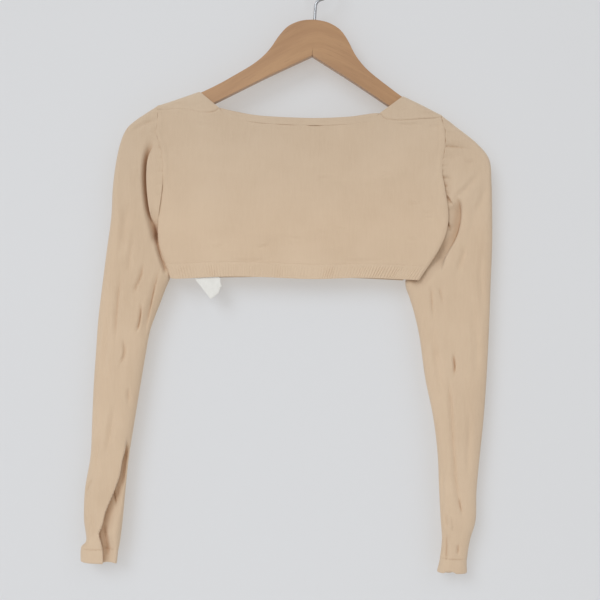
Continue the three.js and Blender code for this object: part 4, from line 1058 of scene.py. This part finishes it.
def newGroup(name, inputs, outputs):
    # an input is given with its usual value, or with None where it is a place; outputs are numbers
    group = bpy.data.node_groups.new(name, "ShaderNodeTree")
    for title, value in inputs.items():
        kind = "NodeSocketVector" if value is None else "NodeSocketFloat"
        socket = group.interface.new_socket(name=title, in_out="INPUT", socket_type=kind)
        if value is not None:
            socket.default_value = value
    for title in outputs:
        group.interface.new_socket(name=title, in_out="OUTPUT", socket_type="NodeSocketFloat")
    return group, group.nodes.new("NodeGroupInput").outputs, group.nodes.new("NodeGroupOutput").inputs


def plug(tree, socket, value):
    if isinstance(value, bpy.types.NodeSocket):
        tree.links.new(value, socket)
    else:
        socket.default_value = value


def feed(tree, node, values):
    for name, value in values.items():
        plug(tree, node.inputs[name], value)
    return node.outputs


def maths(tree, operation, *values, clamp=False):
    node = tree.nodes.new("ShaderNodeMath")
    node.operation, node.use_clamp = operation, clamp
    for socket, value in zip(node.inputs, values):
        plug(tree, socket, value)
    return node.outputs[0]


def mathsFor(tree, *operations):
    # a short function for each operation
    return [partial(maths, tree, operation) for operation in operations]


def objectPlace(tree):
    return tree.nodes.new("ShaderNodeTexCoord").outputs["Object"]


def knitPlace(tree):
    node = tree.nodes.new("ShaderNodeUVMap")
    node.uv_map = "knit"
    return node.outputs[0]


def splitPlace(tree, vector):
    return feed(tree, tree.nodes.new("ShaderNodeSeparateXYZ"), {"Vector": vector})


def noiseAt(tree, vector, scale, detail=2.0, roughness=0.5, stretch=(1, 1, 1)):
    placed = feed(tree, tree.nodes.new("ShaderNodeMapping"), {"Scale": stretch, "Vector": vector})[0]
    values = {"Vector": placed, "Scale": scale, "Detail": detail, "Roughness": roughness}
    return feed(tree, tree.nodes.new("ShaderNodeTexNoise"), values)["Fac"]


def spread(tree, value, low, high, toLow=0.0, toHigh=1.0):
    node = tree.nodes.new("ShaderNodeMapRange")
    for socket, number in zip(node.inputs[:5], (value, low, high, toLow, toHigh)):
        plug(tree, socket, number)
    return node.outputs[0]


def blend(tree, share, first, second, kind="MIX"):
    node = tree.nodes.new("ShaderNodeMix")
    node.data_type, node.blend_type = "RGBA", kind
    plug(tree, node.inputs["Factor"], share)
    plug(tree, node.inputs[6], first)
    plug(tree, node.inputs[7], second)
    return node.outputs[2]


def tinted(tree, share, colour, tint):
    return blend(tree, share, colour, blend(tree, 1.0, colour, tint, "MULTIPLY"))


def bumped(tree, height, distance, strength, under=None):
    values = {"Distance": distance, "Strength": strength, "Height": height}
    if under is not None:
        values["Normal"] = under
    return feed(tree, tree.nodes.new("ShaderNodeBump"), values)[0]


def knitGroup():
    # plain knit: each stitch is a V, two legs that slant to the middle of its column
    group, given, out = newGroup("knitFace", {"Map": None, "Columns": 800.0, "Rows": 1050.0},
                                 ("Height", "Shade"))
    add, less, times = mathsFor(group, "ADD", "SUBTRACT", "MULTIPLY")
    power, size, fraction = mathsFor(group, "POWER", "ABSOLUTE", "FRACT")
    split = splitPlace(group, given["Map"])
    drift = noiseAt(group, given["Map"], 90.0, 2.0)
    across = add(times(split["X"], given["Columns"]), times(drift, 1.2))
    up = add(times(split["Y"], given["Rows"]), times(drift, 0.8))
    fromMiddle = size(less(fraction(across), 0.5))
    slant = add(up, times(fromMiddle, 1.9))
    leg = size(less(fraction(slant), 0.5))
    legRound = less(1.0, power(times(leg, 2.0), 2.0))
    sideRound = less(1.0, power(size(less(times(fromMiddle, 4.0), 1.0)), 2.5))
    height = times(legRound, sideRound, clamp=True)
    fuzz = noiseAt(group, given["Map"], 2600.0, 3.0, 0.6)
    plug(group, out["Height"], add(height, times(fuzz, 0.35)))
    plug(group, out["Shade"], add(times(height, 0.7), times(fuzz, 0.3)))
    return group


def toneAndShadeGroup():
    # slow random changes of tone over the cloth, and painted shade that darkens it towards the shoulders
    group, given, out = newGroup("clothTone", {"Map": None}, ("Tone", "Streak", "High"))
    add, times = mathsFor(group, "ADD", "MULTIPLY")
    slow = noiseAt(group, given["Map"], 11.0, 3.0, 0.55)
    broad = times(noiseAt(group, given["Map"], 6.0, 2.0), 0.12)
    height = add(splitPlace(group, given["Map"])["Z"], broad)
    streak = noiseAt(group, given["Map"], 60.0, 3.0, 0.6, (9.0, 0.6, 1.0))
    # painted shade: a mask that rises towards the top of the garment, where the cloth is painted darker
    plug(group, out["High"], spread(group, height, -0.28, -0.1))
    plug(group, out["Tone"], spread(group, slow, 0.3, 0.7))
    plug(group, out["Streak"], spread(group, streak, 0.3, 0.7))
    return group


def paintedFoldShadeGroup():
    # painted shade for folds: how hidden a spot is in a fold, from ambient occlusion, 0 on open cloth, 1 at
    # the bottom
    group, given, out = newGroup("foldDepth", {"Reach": 0.01}, ("Depth",))
    clearance = group.nodes.new("ShaderNodeAmbientOcclusion")
    clearance.samples = 8
    clear = feed(group, clearance, {"Distance": given["Reach"]})["AO"]
    plug(group, out["Depth"], spread(group, clear, 0.84, 0.1))
    return group


knitFace, clothTone, foldDepth = knitGroup(), toneAndShadeGroup(), paintedFoldShadeGroup()


def newMaterial(name):
    material = bpy.data.materials.new(name)
    material.use_nodes = True
    return material, material.node_tree, material.node_tree.nodes["Principled BSDF"]


def useGroup(tree, group, **values):
    node = tree.nodes.new("ShaderNodeGroup")
    node.node_tree = group
    return feed(tree, node, values)


yarn = {
    "light": (0.668, 0.516, 0.37, 1), "dark": (0.618, 0.468, 0.328, 1), "pale": (0.696, 0.549, 0.403, 1),
    # painted shade: a warm brown tinted into the hollows of folds, with its reach in metres, and a darker
    # tint for the upper cloth
    "fold": (0.71, 0.49, 0.32, 1), "foldReach": 0.013, "dull": (0.91, 0.935, 0.965, 1),
    "streaks": 0.35, "gapShade": 0.86, "roughness": 0.86,
    "sheen": 0.35, "sheenRoughness": 0.55, "sheenTint": (1.0, 0.93, 0.84, 1), "shine": 0.25,
}


def knitMaterial(name, columns, rows, lift, stitchDepth):
    material, tree, shader = newMaterial(name)
    where = objectPlace(tree)
    face = useGroup(tree, knitFace, Map=knitPlace(tree), Columns=columns, Rows=rows)
    tone = useGroup(tree, clothTone, Map=where)
    foldShadeMask = useGroup(tree, foldDepth, Reach=yarn["foldReach"])["Depth"]
    yarnToneAndShade = blend(tree, tone["Tone"], yarn["dark"], yarn["light"])
    yarnToneAndShade = blend(tree, maths(tree, "MULTIPLY", tone["Streak"], yarn["streaks"]), yarnToneAndShade, yarn["pale"])
    yarnToneAndShade = blend(tree, lift, yarnToneAndShade, yarn["pale"])
    # painted shade: the upper cloth is darkened and the hollows of folds are tinted warm brown
    yarnToneAndShade = tinted(tree, tone["High"], yarnToneAndShade, yarn["dull"])
    yarnToneAndShade = tinted(tree, foldShadeMask, yarnToneAndShade, yarn["fold"])
    shade = spread(tree, face["Shade"], 0.0, 0.8, yarn["gapShade"], 1.04)
    gap = tree.nodes.new("ShaderNodeCombineColor")
    for channel in gap.inputs:
        plug(tree, channel, shade)
    coarse = bumped(tree, noiseAt(tree, where, 420.0, 3.0, 0.6), 0.0004, 0.25)
    feed(tree, shader, {
        "Base Color": blend(tree, 1.0, yarnToneAndShade, gap.outputs[0], "MULTIPLY"),
        "Roughness": spread(tree, face["Height"], 0, 1.3, 0.95, yarn["roughness"]),
        "Normal": bumped(tree, face["Height"], stitchDepth, 0.5, coarse),
        "Sheen Weight": yarn["sheen"], "Sheen Roughness": yarn["sheenRoughness"],
        "Sheen Tint": yarn["sheenTint"], "Specular IOR Level": yarn["shine"],
    })
    return material


# stitches and rows to the metre, paleness, and the depth of a stitch in metres
plainKnit = knitMaterial("plainKnit", 820.0, 1080.0, 0.0, 0.00016)
ribKnit = knitMaterial("ribKnit", 590.0, 1080.0, 0.25, 0.0002)
bandKnit = knitMaterial("bandKnit", 820.0, 1080.0, 0.15, 0.0002)

twistedThread = {
    "scale": 1400.0, "distortion": 1.5, "dark": (0.5, 0.37, 0.25, 1), "light": (0.64, 0.49, 0.35, 1),
}
tape = {"threads": 520.0, "dark": (0.66, 0.66, 0.63, 1), "light": (0.8, 0.8, 0.77, 1), "sheen": 0.1}
timber = {
    "dark": (0.356, 0.198, 0.092, 1), "light": (0.453, 0.267, 0.129, 1), "grain": (0.397, 0.209, 0.102, 1),
    "pore": (0.24, 0.125, 0.06, 1), "grainShare": 0.55, "poreShare": 0.45, "slope": 0.62,
    "coat": 0.25, "coatRoughness": 0.25,
}
plating = {"dark": (0.3, 0.31, 0.33, 1), "light": (0.5, 0.51, 0.53, 1)}


def threadMaterial():
    material, tree, shader = newMaterial("sewingThread")
    wave = tree.nodes.new("ShaderNodeTexWave")
    values = {"Scale": twistedThread["scale"], "Distortion": twistedThread["distortion"]}
    twist = feed(tree, wave, {**values, "Vector": objectPlace(tree)})["Fac"]
    feed(tree, shader, {
        "Base Color": blend(tree, twist, twistedThread["dark"], twistedThread["light"]),
        "Roughness": spread(tree, twist, 0, 1, 0.75, 0.6),
        "Normal": bumped(tree, twist, 0.0001, 0.5),
    })
    return material


def labelMaterial():
    material, tree, shader = newMaterial("labelTape")
    flat = knitPlace(tree)
    wave = tree.nodes.new("ShaderNodeTexWave")
    wave.bands_direction = "Y"
    weave = feed(tree, wave, {"Scale": tape["threads"], "Vector": flat})["Fac"]
    cloudy = noiseAt(tree, flat, 160.0, 3.0)
    feed(tree, shader, {
        "Base Color": blend(tree, cloudy, tape["dark"], tape["light"]),
        "Roughness": spread(tree, cloudy, 0.2, 0.8, 0.42, 0.6),
        "Normal": bumped(tree, weave, 0.0001, 0.35), "Sheen Weight": tape["sheen"],
    })
    return material


def woodMaterial():
    # the grain follows both arms down from the middle
    material, tree, shader = newMaterial("hangerWood")
    add, times, power, root = mathsFor(tree, "ADD", "MULTIPLY", "POWER", "SQRT")
    split = splitPlace(tree, objectPlace(tree))
    away = root(add(power(split["X"], 2.0), 0.0004))
    fall = add(split["Z"], times(away, timber["slope"]))
    join = tree.nodes.new("ShaderNodeCombineXYZ")
    along = feed(tree, join, {"X": split["X"], "Y": split["Y"], "Z": fall})[0]
    bands = noiseAt(tree, along, 26.0, 4.0, 0.55, (0.35, 2.2, 3.4))
    fine = noiseAt(tree, along, 210.0, 4.0, 0.65, (0.07, 1.0, 1.6))
    pores = spread(tree, noiseAt(tree, along, 900.0, 2.0, 0.5, (0.05, 1.0, 1.3)), 0.62, 0.72)
    base = blend(tree, spread(tree, bands, 0.35, 0.68), timber["dark"], timber["light"])
    base = blend(tree, times(fine, timber["grainShare"]), base, timber["grain"])
    base = blend(tree, times(pores, timber["poreShare"]), base, timber["pore"])
    feed(tree, shader, {
        "Base Color": base, "Roughness": spread(tree, fine, 0.3, 0.7, 0.34, 0.5),
        "Normal": bumped(tree, pores, 0.0001, 0.2, bumped(tree, fine, 0.0002, 0.15)),
        "Coat Weight": timber["coat"], "Coat Roughness": timber["coatRoughness"],
    })
    return material


def wireMaterial():
    material, tree, shader = newMaterial("platedWire")
    marks = noiseAt(tree, objectPlace(tree), 700.0, 3.0, 0.6, (1.0, 1.0, 0.15))
    feed(tree, shader, {
        "Base Color": blend(tree, marks, plating["dark"], plating["light"]), "Metallic": 1.0,
        "Roughness": spread(tree, marks, 0.3, 0.7, 0.14, 0.26),
        "Normal": bumped(tree, marks, 0.00005, 0.2),
    })
    return material


def dress(pieces, material):
    for piece in pieces:
        piece.data.materials.clear()
        piece.data.materials.append(material)


dress(panels + shoulders + sleeves, plainKnit)
dress(ribs, ribKnit)
dress(neckbands + cuffs, bandKnit)
dress(neckSewing + cuffSewing, threadMaterial())
dress([labelPiece], labelMaterial())
dress(arms, woodMaterial())
dress([wirePiece], wireMaterial())
print("finishes made")


knitted = panels + ribs + neckbands + shoulders + sleeves + cuffs
for piece in knitted + neckSewing + cuffSewing + arms + [labelPiece, wirePiece]:
    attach(piece, "root")


# The stage: a pale wall close behind, a pale floor, soft lights, and the camera.
stage = {
    "wallBehind": 0.025, "wallSize": 5.0, "floorBelow": 0.24, "paleWall": (0.39, 0.424, 0.465, 1),
    "paleFloor": (0.45, 0.45, 0.45, 1), "glow": (1.0, 0.93, 0.86, 1), "glowStrength": 0.3,
    "air": (1.0, 0.97, 0.94, 1), "airStrength": 0.52, "daylight": (0.96, 1.0, 1.04),
}


def paleMaterial(name, colour):
    # seen from its front alone, and clear to lamps behind it
    material, tree, shader = newMaterial(name)
    grain = noiseAt(tree, objectPlace(tree), 3.0, 2.0)
    feed(tree, shader, {
        "Base Color": blend(tree, grain, colour, tuple(c * 0.98 for c in colour[:3]) + (1,)),
        "Roughness": 0.9, "Specular IOR Level": 0.1,
        # a slight glow keeps the shadows as light as in a bright room
        "Emission Color": stage["glow"], "Emission Strength": stage["glowStrength"],
    })
    behind = tree.nodes.new("ShaderNodeNewGeometry").outputs["Backfacing"]
    shadowRay = tree.nodes.new("ShaderNodeLightPath").outputs["Is Shadow Ray"]
    clear = tree.nodes.new("ShaderNodeBsdfTransparent").outputs[0]
    hidden = maths(tree, "MAXIMUM", behind, shadowRay)
    choose = tree.nodes.new("ShaderNodeMixShader")
    for socket, value in zip(choose.inputs, (hidden, shader.outputs[0], clear)):
        plug(tree, socket, value)
    plug(tree, tree.nodes["Material Output"].inputs["Surface"], choose.outputs[0])
    return material


def stagePlane(name, place, turn, material):
    deselectAll()
    bpy.ops.mesh.primitive_plane_add(size=stage["wallSize"], location=place, rotation=turn)
    plane = named(name)
    bpy.ops.object.transform_apply(location=True, rotation=True, scale=True)
    plane.data.materials.append(material)


middle = Vector((0, 0, (cadLow.z + cadHigh.z) / 2))
upright = (math.radians(90), 0, 0)
stagePlane("wall", (0, stage["wallBehind"], middle.z), upright, paleMaterial("paleWall", stage["paleWall"]))
stagePlane("floor", (0, 0, cadLow.z - stage["floorBelow"]), (0, 0, 0),
           paleMaterial("paleFloor", stage["paleFloor"]))

# daylight comes from above, more of it from the left, through openings as wide as tall windows
daylight = readTable(("name", "rise", "fromLeft", "width", "strength"), [
    ("daylightLeft", 30, 30, 30, 0.88), ("daylightRight", 26, -34, 40, 0.25),
])
softLights = readTable(("name", "place", "size", "watts"), [
    ("windowLight", (-0.35, -1.25, -0.28), 0.8, 2.9), ("backLight", (0.6, 1.9, 0.7), 1.8, 26),
])


def addLamp(kind, name, place):
    # a lamp turned to the middle of the garment
    deselectAll()
    bpy.ops.object.light_add(type=kind, location=place)
    lamp = named(name)
    lamp.rotation_mode = "QUATERNION"
    lamp.rotation_quaternion = (middle - Vector(place)).to_track_quat("-Z", "Y")
    return lamp.data


for window in daylight:
    rise, turn = math.radians(window["rise"]), math.radians(window["fromLeft"])
    out = Vector((-math.sin(turn) * math.cos(rise), -math.cos(turn) * math.cos(rise), math.sin(rise)))
    sun = addLamp("SUN", window["name"], middle + 3 * out)
    sun.angle, sun.energy, sun.color = math.radians(window["width"]), window["strength"], stage["daylight"]

for light in softLights:
    area = addLamp("AREA", light["name"], light["place"])
    area.size, area.energy = light["size"], light["watts"]

world = bpy.data.worlds.new("paleRoom")
world.use_nodes = True
feed(world.node_tree, world.node_tree.nodes["Background"],
     {"Color": stage["air"], "Strength": stage["airStrength"]})
scene.world = world

# the camera stands square to the garment, level with a spot just below the hem
camera = {"lens": 57.0, "sensor": 36.0, "frameWidth": 0.768, "clothFront": 0.008, "across": -0.022,
          "height": -0.4284}
away = camera["frameWidth"] * camera["lens"] / camera["sensor"] + camera["clothFront"]
deselectAll()
bpy.ops.object.camera_add(location=(camera["across"], -away, camera["height"]), rotation=upright)
scene.camera = bpy.context.object
scene.camera.data.lens, scene.camera.data.sensor_width = camera["lens"], camera["sensor"]

print("stage made")
